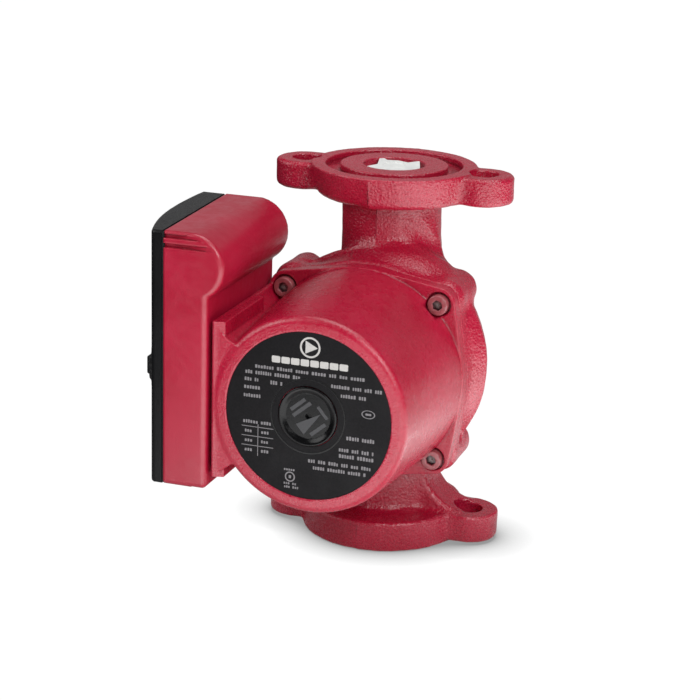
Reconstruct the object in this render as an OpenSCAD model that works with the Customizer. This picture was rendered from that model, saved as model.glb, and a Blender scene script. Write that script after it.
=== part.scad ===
// Wet-rotor circulator pump with two-bolt pipe flanges, a three-speed terminal box and a built-in check valve.
// Origin at the centre of the suction flange face. +Z runs up the pipe axis. The motor points to -Y.

/* [Pipe flanges] */
// distance between the two flange faces
port_to_port = 165; // [130:1:250]
// thickness of each flange
flange_t = 12.7; // [8:0.1:20]
// radius of the round flange body
flange_r = 36; // [28:0.5:50]
// radius of each bolt lug
lug_r = 13; // [9:0.5:18]
// distance between the two bolt holes
bolt_spacing = 80; // [70:0.5:110]
// diameter of each bolt hole
bolt_hole_d = 12.7; // [8:0.1:16]
// how far the lugs sit below the flange face
lug_drop = 0.8; // [0:0.1:3]
// radius where lug and flange body blend
lug_blend_r = 8; // [3:0.5:15]
// outer radius of the gasket groove
groove_ro = 29.7; // [20:0.1:34]
// inner radius of the gasket groove
groove_ri = 23.2; // [15:0.1:28]
// depth of the gasket groove
groove_depth = 2.8; // [1:0.1:5]
// diameter of the water port
port_d = 26; // [18:0.5:40]
// inner diameter of the discharge port, which holds the check valve cartridge
seat_d = 26.8; // [18:0.1:40]

/* [Pump housing] */
// height of the motor axis above the suction face
axis_height = 82.5; // [60:0.5:125]
// outer radius of the upper neck
neck_top_r = 21.7; // [18:0.1:28]
// outer radius of the lower neck
neck_low_r = 21.4; // [18:0.1:28]
// ring radius of the volute body
scroll_ring_r = 38; // [30:0.5:45]
// section radius of the volute body
scroll_tube_r = 12; // [8:0.5:16]
// sideways shift of the volute body from the motor axis
scroll_dx = -1.5; // [-5:0.5:5]
// upward shift of the volute body from the motor axis
scroll_dz = 3.5; // [-5:0.5:8]
// position of the volute body along the motor axis
scroll_y = -20; // [-26:0.5:-12]
// radius of the suction chamber behind the volute
chamber_r = 30; // [24:0.5:36]
// radius of each screw boss
boss_r = 8; // [6:0.5:10]
// inner radius of the neck ring
neck_ring_ri = 11.08; // [9:0.01:14]
// outer radius of the neck ring
neck_ring_ro = 14; // [12:0.1:18]

/* [Motor] */
// position of the motor's front face along its axis
motor_front_y = -103.5; // [-130:0.5:-90]
// position of the joint between motor and pump housing
joint_y = -34; // [-40:0.5:-28]
// radius of the front rim
rim_r = 41; // [36:0.5:48]
// radius of the motor housing at its flange
motor_rear_r = 45.4; // [42:0.1:50]
// radius of the round part of the motor flange
motor_flange_r = 45.8; // [43:0.1:52]
// thickness of the motor flange
motor_flange_t = 6.5; // [4:0.5:10]
// sideways and vertical offset of each flange screw
ear_offset = 34; // [28:0.5:40]
// radius of each flange ear
ear_r = 6.75; // [5:0.25:9]
// radius of the counterbore for a screw head
ear_counterbore_r = 5.2; // [4.6:0.1:6]
// bore of the motor housing for the stator
stator_bore_r = 38.05; // [34:0.05:42]
// radius of the nameplate
plate_r = 34.8; // [28:0.1:38]
// radius of the centre plug
plug_r = 12.3; // [9:0.1:16]
// position of the box mounting pad's face
pad_x = -41; // [-48:0.5:-38]

/* [Wet rotor] */
// outer radius of the rotor can
can_r = 20.2; // [16:0.1:24]
// wall of the rotor can
can_wall = 0.4; // [0.2:0.1:1]
// radius of the shaft
shaft_r = 4; // [3:0.25:6]
// radius of the rotor core
rotor_r = 19; // [15:0.1:22]
// radius of the impeller
impeller_r = 27; // [20:0.5:32]
// number of impeller blades
blades = 6; // [4:1:9]
// number of stator slots
slots = 12; // [8:1:24]

/* [Terminal box] */
// face of the box that looks at the motor
box_x = -43; // [-50:0.5:-42]
// front face of the box
box_front_y = -105; // [-120:0.5:-90]
// rear face of the box
box_rear_y = -32; // [-45:0.5:-20]
// underside of the box
box_low_z = 45.5; // [30:0.5:60]
// top of the box
box_high_z = 152; // [130:0.5:170]
// wall thickness of the box and its cover
box_wall = 2.2; // [1.5:0.1:4]
// radius of the capacitor bulge
bulge_r = 13.9; // [10:0.1:18]
// sideways position of the capacitor bulge
bulge_x = -50; // [-56:0.5:-46]
// height of the capacitor bulge
bulge_z = 138.1; // [120:0.1:150]
// outermost face of the cover
cover_x = -76.2; // [-90:0.1:-70]
// radius of the cable entry in the underside
entry_r = 8.15; // [6:0.05:12]

/* [Speed knob] */
// radius of the knob
knob_r = 15; // [10:0.5:20]
// position of the knob along the motor axis
knob_y = -69; // [-80:0.5:-60]
// height of the knob's axis
knob_z = 87; // [75:0.5:100]
// radius of the selector spindle
spindle_r = 3; // [2:0.1:5]

/* [Check valve] */
// outer radius of the cartridge
cage_r = 13.3; // [10:0.1:16]
// depth of the cartridge's top below the discharge face
cage_drop = 0.3; // [0:0.1:10]
// travel of the poppet
lift = 6; // [3:0.5:10]

/* [Hidden] */
$fn = 96;
zc = axis_height;
top = port_to_port;
eps = 0.02;
cast_red = [0.62, 0.08, 0.14];
box_red = [0.66, 0.07, 0.13];
black = [0.06, 0.06, 0.07];
steel = [0.72, 0.73, 0.75];
white = [0.9, 0.91, 0.9];
rubber = [0.09, 0.09, 0.1];
copper = [0.72, 0.38, 0.18];
ceramic = [0.86, 0.84, 0.78];
brass = [0.78, 0.6, 0.25];
noryl = [0.25, 0.25, 0.27];
scroll_z = zc + scroll_dz;
cage_top = top - cage_drop;
cage_rim = cage_top - 3.7;
cage_seat = top - 22;
cage_foot = top - 26;
stack_y0 = -86;
stack_y1 = -54;
bearing_front_y = -42;
ears = [[-1, -1], [-1, 1], [1, -1], [1, 1]];
box_screw_yz = [[-60, 62], [-60, 105]];
cover_screw_yz = [[-93, 54], [-41, 144]];
wire_y = [-95, -92, -89];
entry_x = -54.4;
entry_y = -60;
wiring_y = -92;
wiring_z = 84;
ground_y = -84;
ground_z = 60;

// ---- helpers ----

// round bar along Y between two positions
module rod_y(r, y0, y1, x = 0, z = zc) {
  translate([x, y1, z])
    rotate([90, 0, 0])
      cylinder(r = r, h = y1 - y0);
}

// cone along Y: ra at y0, rb at y1
module cone_y(ra, rb, y0, y1, x = 0, z = zc) {
  translate([x, y0, z])
    rotate([-90, 0, 0])
      cylinder(r1 = ra, r2 = rb, h = y1 - y0);
}

// round bar along X between two positions
module rod_x(r, x0, x1, y, z) {
  translate([x0, y, z])
    rotate([0, 90, 0])
      cylinder(r = r, h = x1 - x0);
}

// ring along Y
module ring_y(ro, ri, y0, y1, x = 0, z = zc) {
  difference() {
    rod_y(ro, y0, y1, x, z);
    rod_y(ri, y0 - 1, y1 + 1, x, z);
  }
}

// turned shape about an axis parallel to Y; the profile is drawn as radius and Y
module turned(x = 0, z = zc) {
  translate([x, 0, z])
    rotate([-90, 0, 0])
      rotate_extrude()
        children();
}

// ring of round section about an axis parallel to Y
module torus_y(ring_r, tube_r, y, x = 0, z = zc) {
  turned(x, z)
    translate([ring_r, y])
      circle(r = tube_r);
}

// flat plate drawn as X and height, between two Y positions
module plate_y(y0, y1) {
  translate([0, y1, 0])
    rotate([90, 0, 0])
      linear_extrude(y1 - y0)
        children();
}

// block from its low and high corners
module block(a, b) {
  translate(a)
    cube(b - a);
}

// round bar between two points
module bar(p, q, r) {
  v = q - p;
  h = norm(v);
  translate(p)
    rotate([0, acos(v[2] / h), atan2(v[1], v[0])])
      cylinder(r = r, h = h, $fn = 24);
}

// wire with round corners through a list of points
module wire(path, r) {
  for (i = [0 : len(path) - 2])
    bar(path[i], path[i + 1], r);
  for (i = [1 : len(path) - 2])
    translate(path[i])
      sphere(r = r, $fn = 24);
}

// ---- pump housing ----

// blend between the flange body and one lug, on one side
module lug_blend(sx, sy) {
  reach = bolt_spacing / 2;
  da = flange_r + lug_blend_r;
  db = lug_r + lug_blend_r;
  bx = (da * da - db * db + reach * reach) / (2 * reach);
  by = sqrt(da * da - bx * bx);
  ta = [bx * flange_r / da, by * flange_r / da];
  tb = [reach + (bx - reach) * lug_r / db, by * lug_r / db];
  scale([sx, sy])
    difference() {
      polygon([[0, 0], [reach, 0], tb, [bx, by], ta]);
      translate([bx, by])
        circle(r = lug_blend_r);
    }
}

// outline of a two-bolt flange
module flange_outline() {
  circle(r = flange_r);
  for (sx = [-1, 1])
    translate([sx * bolt_spacing / 2, 0])
      circle(r = lug_r);
  for (sx = [-1, 1], sy = [-1, 1])
    lug_blend(sx, sy);
}

// slight parting ridge on the front and back of a round casting
module parting_ridge(r, angle) {
  for (sy = [-1, 1])
    polygon([[0, sy * r / 2], [r * sin(angle), sy * r * cos(angle)], [0, sy * r / cos(angle)],
      [-r * sin(angle), sy * r * cos(angle)]]);
}

// flange blank standing on z = 0 with its face down
module flange_blank() {
  cylinder(r = flange_r, h = flange_t);
  translate([0, 0, lug_drop])
    linear_extrude(flange_t - lug_drop)
      flange_outline();
  translate([0, 0, 0.8])
    linear_extrude(flange_t - 1.6)
      parting_ridge(flange_r, 10);
}

// cuts made from a flange face at z = 0
module flange_cuts() {
  translate([0, 0, -1])
    difference() {
      cylinder(r = groove_ro, h = groove_depth + 1);
      translate([0, 0, -1])
        cylinder(r = groove_ri, h = groove_depth + 3);
    }
  for (sx = [-1, 1])
    translate([sx * bolt_spacing / 2, 0, -1])
      cylinder(d = bolt_hole_d, h = flange_t + 2);
}

// concave root fillet round a neck, standing on z = 0
module root_fillet(r, f) {
  rotate_extrude()
    difference() {
      square([r + f, f]);
      translate([r + f, f])
        circle(r = f);
    }
}

// outline of the joint flange: round body with four ears
module joint_outline(r) {
  d = ear_offset * sqrt(2);
  phi = acos((r - ear_r) / d);
  translate([0, zc]) {
    circle(r = r);
    for (e = ears) {
      a = atan2(e[1], e[0]);
      c = [e[0] * ear_offset, e[1] * ear_offset];
      translate(c)
        circle(r = ear_r);
      polygon([[0, 0], r * [cos(a - phi), sin(a - phi)], c + ear_r * [cos(a - phi), sin(a - phi)],
        c + ear_r * [cos(a + phi), sin(a + phi)], r * [cos(a + phi), sin(a + phi)]]);
    }
  }
}

// one screw boss with a rounded end
module screw_boss(x, z) {
  rod_y(boss_r, joint_y, -12, x, z);
  rod_y(boss_r / 2, joint_y, -12 + boss_r / 2, x, z);
  torus_y(boss_r / 2, boss_r / 2, -12, x, z);
}

// web that runs out from the lower neck onto a lug
module lug_web(sx) {
  plate_y(-10, 10)
    scale([sx, 1])
      difference() {
        polygon([[10, flange_t - 1], [40, flange_t - 1], [40, 30], [10, 34]]);
        translate([46, 38])
          circle(r = 26);
        translate([21, 27])
          square([30, 12]);
      }
}

module housing_outside() {
  flange_blank();
  translate([0, 0, top])
    mirror([0, 0, 1])
      flange_blank();
  translate([0, 0, flange_t - 1])
    cylinder(r = neck_low_r, h = zc - flange_t);
  translate([0, 0, flange_t])
    root_fillet(neck_low_r - 0.1, 5);
  translate([0, 0, flange_t - 1])
    linear_extrude(30)
      parting_ridge(neck_low_r, 16);
  translate([0, 0, zc])
    cylinder(r = neck_top_r, h = top - zc - flange_t + 1);
  translate([0, 0, top - flange_t])
    mirror([0, 0, 1])
      root_fillet(neck_top_r - 0.1, 3);
  translate([0, 0, 120])
    linear_extrude(top - flange_t - 119)
      parting_ridge(neck_top_r, 16);
  for (sx = [-1, 1])
    lug_web(sx);
  torus_y(scroll_ring_r, scroll_tube_r, scroll_y, scroll_dx, scroll_z);
  rod_y(scroll_ring_r, scroll_y - scroll_tube_r, scroll_y + scroll_tube_r, scroll_dx, scroll_z);
  rod_y(scroll_ring_r + 7, joint_y + 1, scroll_y, scroll_dx / 2, zc + scroll_dz / 2);
  cone_y(40, chamber_r, scroll_y + scroll_tube_r - 1, 4);
  rod_y(chamber_r, -8, 14);
  rod_y(chamber_r - 8, -8, 22);
  torus_y(chamber_r - 8, 8, 14);
  plate_y(joint_y, joint_y + 7)
    joint_outline(motor_flange_r);
  for (e = ears)
    screw_boss(e[0] * ear_offset, zc + e[1] * ear_offset);
}

module housing_inside() {
  flange_cuts();
  translate([0, 0, top])
    mirror([0, 0, 1])
      flange_cuts();
  translate([0, 0, -1])
    cylinder(d = port_d, h = 35);
  translate([0, 3.5, 33])
    cylinder(r = 11.5, h = zc - 33);
  translate([0, 0, cage_foot])
    cylinder(d = seat_d, h = top - cage_foot + 1);
  translate([0, 0, cage_foot - 6])
    cylinder(r = 10, h = 7);
  bar([12, -22, 114], [0, 0, cage_foot + 0.5], 8.5);
  rod_y(16.5, -12, 16);
  rod_y(neck_ring_ro, -17, -11);
  torus_y(33, 7, -22, scroll_dx, scroll_z);
  rod_y(34, joint_y - 1, -16);
  for (e = ears)
    rod_y(2.55, joint_y - 1, -15, e[0] * ear_offset, zc + e[1] * ear_offset);
  block([-60, joint_y - 1, 40], [-41.6, -29, 125]);
  block([43.4, joint_y - 0.5, 79], [50, joint_y + 1, 92]);
}

module pump_housing() {
  color(cast_red)
    difference() {
      housing_outside();
      housing_inside();
    }
}

module neck_ring() {
  color(steel)
    ring_y(neck_ring_ro - eps, neck_ring_ri, -16, -12);
}

// ---- check valve in the discharge port ----

// four-legged spider on top of the cartridge
module cage_spider() {
  intersection() {
    circle(r = cage_r);
    polygon([[-9.6, -9], [-6.8, -2.6], [-10, 10.4], [-8.4, 11], [-5.6, 7.4], [-0.8, 8.4], [4.2, 6.2], [7.9, 11.4],
      [12.9, -4.4], [13, -14], [-10, -14]]);
  }
}

module check_valve_cage() {
  color(white)
    union() {
      difference() {
        translate([0, 0, cage_foot])
          cylinder(r = cage_r, h = cage_rim - cage_foot);
        translate([0, 0, cage_seat])
          cylinder(r = 10.4, h = 40);
        translate([0, 0, cage_foot - 1])
          cylinder(r = 8, h = 8);
        translate([0, 0, cage_foot + 4.5])
          rotate_extrude()
            translate([cage_r - 0.95, 0])
              square([2, 1.9]);
      }
      difference() {
        union() {
          translate([0, 0, cage_rim])
            linear_extrude(cage_top - cage_rim)
              cage_spider();
          translate([0, 0, cage_rim - 6])
            cylinder(r = 3.2, h = 7);
        }
        translate([0, 0, cage_rim - 7])
          cylinder(r = 1.97, h = 9.4);
        translate([0, 0, cage_top - 0.4])
          cylinder(r = 5, h = 1);
      }
    }
}

module check_valve_o_ring() {
  color(rubber)
    translate([0, 0, cage_foot + 5.45])
      rotate_extrude()
        translate([cage_r - 0.42, 0])
          circle(r = 0.48);
}

module check_valve_poppet() {
  color([0.15, 0.16, 0.2])
    translate([0, 0, cage_seat + 0.05]) {
      cylinder(r = 9.4, h = 2);
      translate([0, 0, -2.5])
        cylinder(r1 = 5, r2 = 7.2, h = 2.6);
      cylinder(r = 1.9, h = 14);
    }
}

// closed helix built as one mesh
module check_valve_spring() {
  turns = 5;
  steps = 18;
  sides = 8;
  coil_r = 4.6;
  wire_r = 0.35;
  z0 = cage_seat + 2.05 + wire_r + 0.02;
  z1 = cage_rim - wire_r - 0.02;
  n = turns * steps;
  rows = [for (i = [0 : n]) let (a = 360 * i / steps, z = z0 + (z1 - z0) * i / n)
    [for (j = [0 : sides - 1]) let (b = 360 * j / sides)
      [(coil_r + wire_r * cos(b)) * cos(a), (coil_r + wire_r * cos(b)) * sin(a), z + wire_r * sin(b)]]];
  points = [for (r = rows, p = r) p];
  wall = [for (i = [0 : n - 1], j = [0 : sides - 1])
    [i * sides + j, (i + 1) * sides + j, (i + 1) * sides + (j + 1) % sides, i * sides + (j + 1) % sides]];
  first = [for (j = [0 : sides - 1]) j];
  last = [for (j = [0 : sides - 1]) n * sides + sides - 1 - j];
  color(steel)
    polyhedron(points, concat(wall, [first, last]), convexity = 6);
}

// ---- wet rotor ----

module housing_gasket() {
  color(rubber)
    ring_y(37.7, 34, joint_y - 2.5, joint_y);
}

module bearing_plate() {
  color(steel)
    difference() {
      union() {
        rod_y(37.7, joint_y - 3.9, joint_y - 2.5);
        rod_y(11, bearing_front_y, joint_y - 0.5);
      }
      rod_y(8, bearing_front_y - 1, joint_y + 1);
      for (a = [45 : 90 : 359])
        rod_y(1.5, joint_y - 6, joint_y, 16 * cos(a), zc + 16 * sin(a));
    }
}

module rear_bearing() {
  color(ceramic)
    ring_y(8 - eps, shaft_r + 0.04, bearing_front_y, joint_y - 1);
}

module rotor_can() {
  color(steel)
    turned()
      polygon([[can_r - can_wall, joint_y - 3.95], [can_r - can_wall, -96.6], [6, -96.6], [6, -97], [can_r, -97],
        [can_r, joint_y - 4.4], [37.7, joint_y - 4.4], [37.7, joint_y - 3.95]]);
}

module can_o_ring() {
  color(rubber)
    torus_y(37, 0.95, joint_y - 5.4);
}

module front_bearing() {
  color(ceramic)
    ring_y(7.5, shaft_r + 0.04, -94.5, -88.5);
}

module front_bearing_plate() {
  color(steel)
    difference() {
      ring_y(can_r - can_wall - eps, 7.5 + eps, -94, -91);
      for (a = [0 : 90 : 359])
        rod_y(2.5, -95, -90, 13.5 * cos(a), zc + 13.5 * sin(a));
    }
}

module rotor_shaft() {
  color(ceramic) {
    rod_y(shaft_r, -95, -20);
    cone_y(shaft_r - 0.8, shaft_r, -95.8, -95);
  }
}

module rotor_core() {
  color([0.5, 0.5, 0.53])
    difference() {
      union() {
        rod_y(rotor_r, stack_y0, stack_y1);
        ring_y(rotor_r - 1, 10, stack_y0 - 1.5, stack_y1 + 1.5);
      }
      rod_y(shaft_r + 0.01, stack_y0 - 3, stack_y1 + 3);
    }
}

module rotor_sleeve() {
  color(steel)
    ring_y(rotor_r + 0.4, rotor_r + eps, stack_y0, stack_y1);
}

module thrust_bearing() {
  color([0.2, 0.2, 0.22])
    ring_y(8, shaft_r + 0.01, bearing_front_y - 3.7, bearing_front_y - 0.3);
}

module thrust_bearing_mount() {
  color(rubber)
    ring_y(7, shaft_r + 0.01, bearing_front_y - 8, bearing_front_y - 3.7);
}

module impeller_back_plate() {
  color(noryl)
    difference() {
      union() {
        rod_y(impeller_r, joint_y + 2.8, joint_y + 4.3);
        rod_y(7.5, joint_y + 1, -24);
      }
      rod_y(shaft_r + 0.01, joint_y, -20);
    }
}

// one backward-curved blade as a crescent
module blade() {
  intersection() {
    difference() {
      circle(r = impeller_r - 0.2);
      circle(r = 10.8);
    }
    difference() {
      translate([-15, 0])
        circle(r = 16.8);
      translate([-15, 0])
        circle(r = 15.2);
    }
    translate([-40, 0])
      square([80, 40]);
  }
}

module impeller_blades() {
  color(noryl)
    for (i = [0 : blades - 1])
      translate([0, -19.9, zc])
        rotate([90, 0, 0])
          linear_extrude(9.8)
            rotate(i * 360 / blades)
              blade();
}

module impeller_front_plate() {
  color(noryl) {
    ring_y(impeller_r, 11, -19.9, -18.5);
    ring_y(11, 9.6, -19.9, -12.5);
  }
}

module impeller_clip() {
  color(steel)
    ring_y(6.5, shaft_r + 0.01, -24, -22.6);
}

// ---- motor ----

// outline of the pad that carries the terminal box
module pad_outline() {
  difference() {
    polygon([[pad_x, 51], [pad_x, 117], [pad_x + 1.8, 117], [-26, 112], [-15, 100], [-15, 65], [-33, 57.2]]);
    translate([-27.5, 119.5])
      circle(r = 12);
  }
}

module motor_housing() {
  color(cast_red)
    difference() {
      union() {
        rod_y(rim_r - 2.8, motor_front_y, motor_front_y + 10);
        torus_y(rim_r - 2.8, 2.8, motor_front_y + 2.8);
        cone_y(rim_r, motor_rear_r, motor_front_y + 2.8, joint_y - motor_flange_t);
        plate_y(joint_y - motor_flange_t, joint_y)
          joint_outline(motor_flange_r);
        plate_y(motor_front_y + 0.6, -40.5)
          pad_outline();
      }
      rod_y(stator_bore_r, motor_front_y + 4.5, joint_y + 1);
      rod_y(plate_r + 0.1, motor_front_y - 1, motor_front_y + 0.8);
      rod_y(plug_r + 0.1, motor_front_y - 1, motor_front_y + 2.5);
      rod_y(7.05, motor_front_y - 1, motor_front_y + 6);
      for (e = ears) {
        rod_y(ear_counterbore_r, joint_y - 12, joint_y - 4, e[0] * ear_offset, zc + e[1] * ear_offset);
        rod_y(2.75, joint_y - 9, joint_y + 1, e[0] * ear_offset, zc + e[1] * ear_offset);
      }
      block([-60, -110, 20], [pad_x, 0, 140]);
      rod_x(5.5, pad_x - 1, -33, wiring_y, wiring_z);
      for (s = box_screw_yz)
        rod_x(2.05, pad_x - 1, -32, s[0], s[1]);
    }
}

module socket_screw(x, z) {
  difference() {
    union() {
      rod_y(4.25, joint_y - 9, joint_y - 4, x, z);
      rod_y(2.5, joint_y - 4.1, -17, x, z);
    }
    translate([x, joint_y - 6.4, z])
      rotate([90, 0, 0])
        cylinder(r = 2.31, h = 5, $fn = 6);
  }
}

module housing_screws() {
  color([0.5, 0.1, 0.14])
    for (e = ears)
      socket_screw(e[0] * ear_offset, zc + e[1] * ear_offset);
}

module nameplate() {
  color(black)
    ring_y(plate_r, plug_r + 0.3, motor_front_y + 0.3, motor_front_y + 0.8);
}

module vent_plug() {
  color(black)
    difference() {
      union() {
        rod_y(plug_r, motor_front_y - 0.4, motor_front_y + 2.5);
        rod_y(7, motor_front_y + 2.4, motor_front_y + 4.6);
        rod_y(5.5, motor_front_y + 4.5, -96.8);
      }
      cone_y(10.8, 9.6, motor_front_y - 0.45, motor_front_y + 0.5);
      rod_y(1.2, motor_front_y - 1, motor_front_y + 2);
    }
}

module vent_plug_seal() {
  color(rubber)
    ring_y(7.6, 5.5 + eps, motor_front_y + 4.62, -97.02);
}

module stator_core() {
  color([0.45, 0.46, 0.48])
    plate_y(stack_y0, stack_y1)
      translate([0, zc])
        difference() {
          circle(r = stator_bore_r - 0.05);
          circle(r = can_r + 0.15);
          for (i = [0 : slots - 1])
            rotate((i + 0.5) * 360 / slots) {
              translate([22, -2.6])
                square([9.5, 5.2]);
              translate([18, -0.9])
                square([6, 1.8]);
            }
        }
}

module winding(y0, y1) {
  ri = 23;
  ro = 33.5;
  c = 2.4;
  turned()
    polygon([[ri + c, y0], [ro - c, y0], [ro, y0 + c], [ro, y1 - c], [ro - c, y1], [ri + c, y1],
      [ri, y1 - c], [ri, y0 + c]]);
}

module front_winding() {
  color(copper)
    winding(-95.5, stack_y0 - 1);
}

module rear_winding() {
  color(copper)
    winding(stack_y1 + 1, -45);
}

module winding_insulators() {
  color(white) {
    ring_y(37, 21.5, stack_y0 - 1, stack_y0);
    ring_y(37, 21.5, stack_y1, stack_y1 + 1);
  }
}

module lead_wires() {
  color([0.12, 0.2, 0.45])
    for (y = wire_y)
      wire([[-35.5, y, wiring_z], [-50, y, wiring_z], [-50, y, 96]], 0.9);
}

// ---- terminal box ----

// position of the joint between box and cover at a given Y
function join_x(y) = -62 - 3 * (y - box_front_y) / (box_rear_y - box_front_y);

// outer face of the cover at a given Y
function cover_face(y) = y < -47 ? cover_x + 0.000468 * pow(-47 - y, 2.44) : cover_x + 0.0022 * pow(y + 47, 2);

// everything on the cover side of the joint, moved by d
module cover_side(d) {
  linear_extrude(200)
    polygon([[join_x(-120) + d, -120], [join_x(-20) + d, -20], [-110, -20], [-110, -120]]);
}

module box_gasket() {
  color(rubber)
    difference() {
      block([box_x, -99, 54], [pad_x, -46, 114]);
      rod_x(6.5, box_x - 1, pad_x + 1, wiring_y, wiring_z);
      for (s = box_screw_yz)
        rod_x(2.4, box_x - 1, pad_x + 1, s[0], s[1]);
    }
}

module box_shell() {
  block([-68, box_front_y, box_low_z], [box_x, box_rear_y, bulge_z]);
  block([-68, box_front_y, box_low_z], [bulge_x - 1, box_rear_y, box_high_z]);
  rod_y(bulge_r, box_front_y, box_rear_y, bulge_x, bulge_z);
}

module box_hollow() {
  w = box_wall;
  block([-80, box_front_y + w, box_low_z + w], [box_x - w, box_rear_y - w, bulge_z]);
  block([-80, box_front_y + w, box_low_z + w], [bulge_x - 1, box_rear_y - w, box_high_z - w]);
  rod_y(bulge_r - w, box_front_y + w, box_rear_y - w, bulge_x, bulge_z);
}

module terminal_box() {
  color(box_red)
    difference() {
      union() {
        difference() {
          box_shell();
          box_hollow();
        }
        for (s = cover_screw_yz)
          rod_x(3.6, -68, s[1] > 120 ? -41 : box_x - 1, s[0], s[1]);
        translate([entry_x, entry_y, box_low_z])
          cylinder(r = 9, h = 6);
      }
      cover_side(0.4);
      for (s = cover_screw_yz)
        rod_x(1.6, -70, box_x - 3, s[0], s[1]);
      translate([entry_x, entry_y, box_low_z - 1])
        cylinder(r = entry_r, h = 8);
      rod_x(6.5, box_x - 5, box_x + 1, wiring_y, wiring_z);
      for (s = box_screw_yz)
        rod_x(2.2, box_x - 5, box_x + 1, s[0], s[1]);
      rod_x(1.45, box_x - box_wall - 1, box_x - 0.9, ground_y, ground_z);
      block([-70, box_front_y - 1, 149.15], [-44, box_front_y + 1.4, 150.85]);
      block([-70, box_front_y - 1, 145.3], [-39.6, box_front_y + 1.4, 147.2]);
    }
}

module pan_screw_x(x_head, x_tip, y, z, head_r, shank_r, head_t) {
  difference() {
    union() {
      rod_x(head_r, x_head, x_head + head_t, y, z);
      rod_x(shank_r, x_head + head_t - 0.1, x_tip, y, z);
    }
    block([x_head - 1, y - head_r - 1, z - 0.5], [x_head + 1.1, y + head_r + 1, z + 0.5]);
    block([x_head - 1, y - 0.5, z - head_r - 1], [x_head + 1.1, y + 0.5, z + head_r + 1]);
  }
}

module box_screws() {
  color(steel)
    for (s = box_screw_yz)
      pan_screw_x(box_x - box_wall - 2.6, -33, s[0], s[1], 3.6, 2, 2.6);
}

module cover_gasket() {
  w = box_wall;
  color(rubber)
    difference() {
      block([-68, box_front_y + 0.5, box_low_z + 0.5], [-58, box_rear_y - 0.5, box_high_z - 0.5]);
      block([-70, box_front_y + w, box_low_z + w], [-56, box_rear_y - w, box_high_z - w]);
      cover_side(-0.38);
      difference() {
        block([-75, -130, 20], [-50, -10, 180]);
        cover_side(0.38);
      }
    }
}

// section of the cover, made smaller by w on every side
module cover_section(w) {
  y0 = box_front_y + w;
  y1 = box_rear_y - w;
  n = 32;
  polygon(concat([for (i = [0 : n]) let (y = y0 + (y1 - y0) * i / n) [cover_face(y) + w, y]],
    [[-50, y1], [-50, y0]]));
}

module terminal_cover() {
  w = box_wall;
  color(black)
    difference() {
      intersection() {
        union() {
          difference() {
            translate([0, 0, box_low_z])
              linear_extrude(box_high_z - box_low_z)
                cover_section(0);
            translate([0, 0, box_low_z + w])
              linear_extrude(box_high_z - box_low_z - 2 * w)
                cover_section(w);
          }
          rod_x(knob_r + 1.2, -75.2, -72.3, knob_y, knob_z);
          for (s = cover_screw_yz)
            rod_x(4.2, cover_face(s[0]) + 1.5, -60, s[0], s[1]);
        }
        cover_side(-0.4);
      }
      rod_x(knob_r + 0.4, -80, -74.5, knob_y, knob_z);
      rod_x(spindle_r + 0.4, -80, -60, knob_y, knob_z);
      for (s = cover_screw_yz) {
        rod_x(1.9, -80, -55, s[0], s[1]);
        rod_x(3.4, -80, cover_face(s[0]) + 3, s[0], s[1]);
      }
    }
}

module cover_screws() {
  color(steel)
    for (s = cover_screw_yz)
      pan_screw_x(cover_face(s[0]) + 1, -50, s[0], s[1], 3, 1.5, 2);
}

module capacitor() {
  color([0.75, 0.76, 0.78])
    union() {
      rod_y(11, -97, -50, bulge_x, bulge_z);
      rod_y(8.5, -50.1, -49, bulge_x, bulge_z);
      rod_y(1, -49.1, -45, bulge_x - 4, bulge_z);
      rod_y(1, -49.1, -45, bulge_x + 4, bulge_z);
    }
}

module capacitor_clip() {
  color(steel)
    ring_y(11.55, 11 + eps, -78, -70, bulge_x, bulge_z);
}

module terminal_block() {
  color([0.85, 0.84, 0.78])
    difference() {
      block([-57, -98, 96], [box_x - box_wall, -86, 120]);
      for (i = [0 : 2]) {
        block([-60, -97, 98 + i * 7.6], [-52, -87, 103.6 + i * 7.6]);
        rod_x(1.55, -53, -50.4, -92, 100.8 + i * 7.6);
      }
    }
}

module terminal_screws() {
  color(brass)
    for (i = [0 : 2])
      pan_screw_x(-54, -50.5, -92, 100.8 + i * 7.6, 2.3, 1.5, 2);
}

module ground_screw() {
  color([0.15, 0.5, 0.2])
    pan_screw_x(box_x - box_wall - 3, box_x - 1, ground_y, ground_z, 3.4, 1.4, 3);
}

module switch_body() {
  color([0.2, 0.2, 0.22])
    difference() {
      block([-71, knob_y - 13, knob_z - 13], [box_x - box_wall, knob_y + 13, knob_z + 13]);
      rod_x(9, -69, -55, knob_y, knob_z);
      rod_x(spindle_r + 0.06, -72, -53, knob_y, knob_z);
    }
}

module jumper_wires() {
  color([0.1, 0.1, 0.1])
    for (i = [0 : 1])
      wire([[-54 + i * 4, knob_y - 9 + i * 3, knob_z + 13], [-54 + i * 4, knob_y - 9 + i * 3, 110 + i * 4],
        [-54 + i * 4, -86, 110 + i * 4]], 0.8);
}

// ---- speed selector ----

module speed_knob() {
  color([0.12, 0.12, 0.13])
    difference() {
      union() {
        rod_x(knob_r, -77.6, -74.6, knob_y, knob_z);
        block([-80.3, knob_y - 11, knob_z - 4], [-77.5, knob_y + 11, knob_z + 4]);
      }
      for (i = [0 : 13])
        rod_x(2, -79, -73, knob_y + (knob_r + 1.1) * cos(i * 360 / 14), knob_z + (knob_r + 1.1) * sin(i * 360 / 14));
      block([-81, knob_y + 5, knob_z - 0.7], [-79.6, knob_y + 12, knob_z + 0.7]);
      rod_x(spindle_r, -79.2, -74, knob_y, knob_z);
    }
}

module selector_spindle() {
  color(steel)
    rod_x(spindle_r - eps, -79.1, -53.6, knob_y, knob_z);
}

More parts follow.
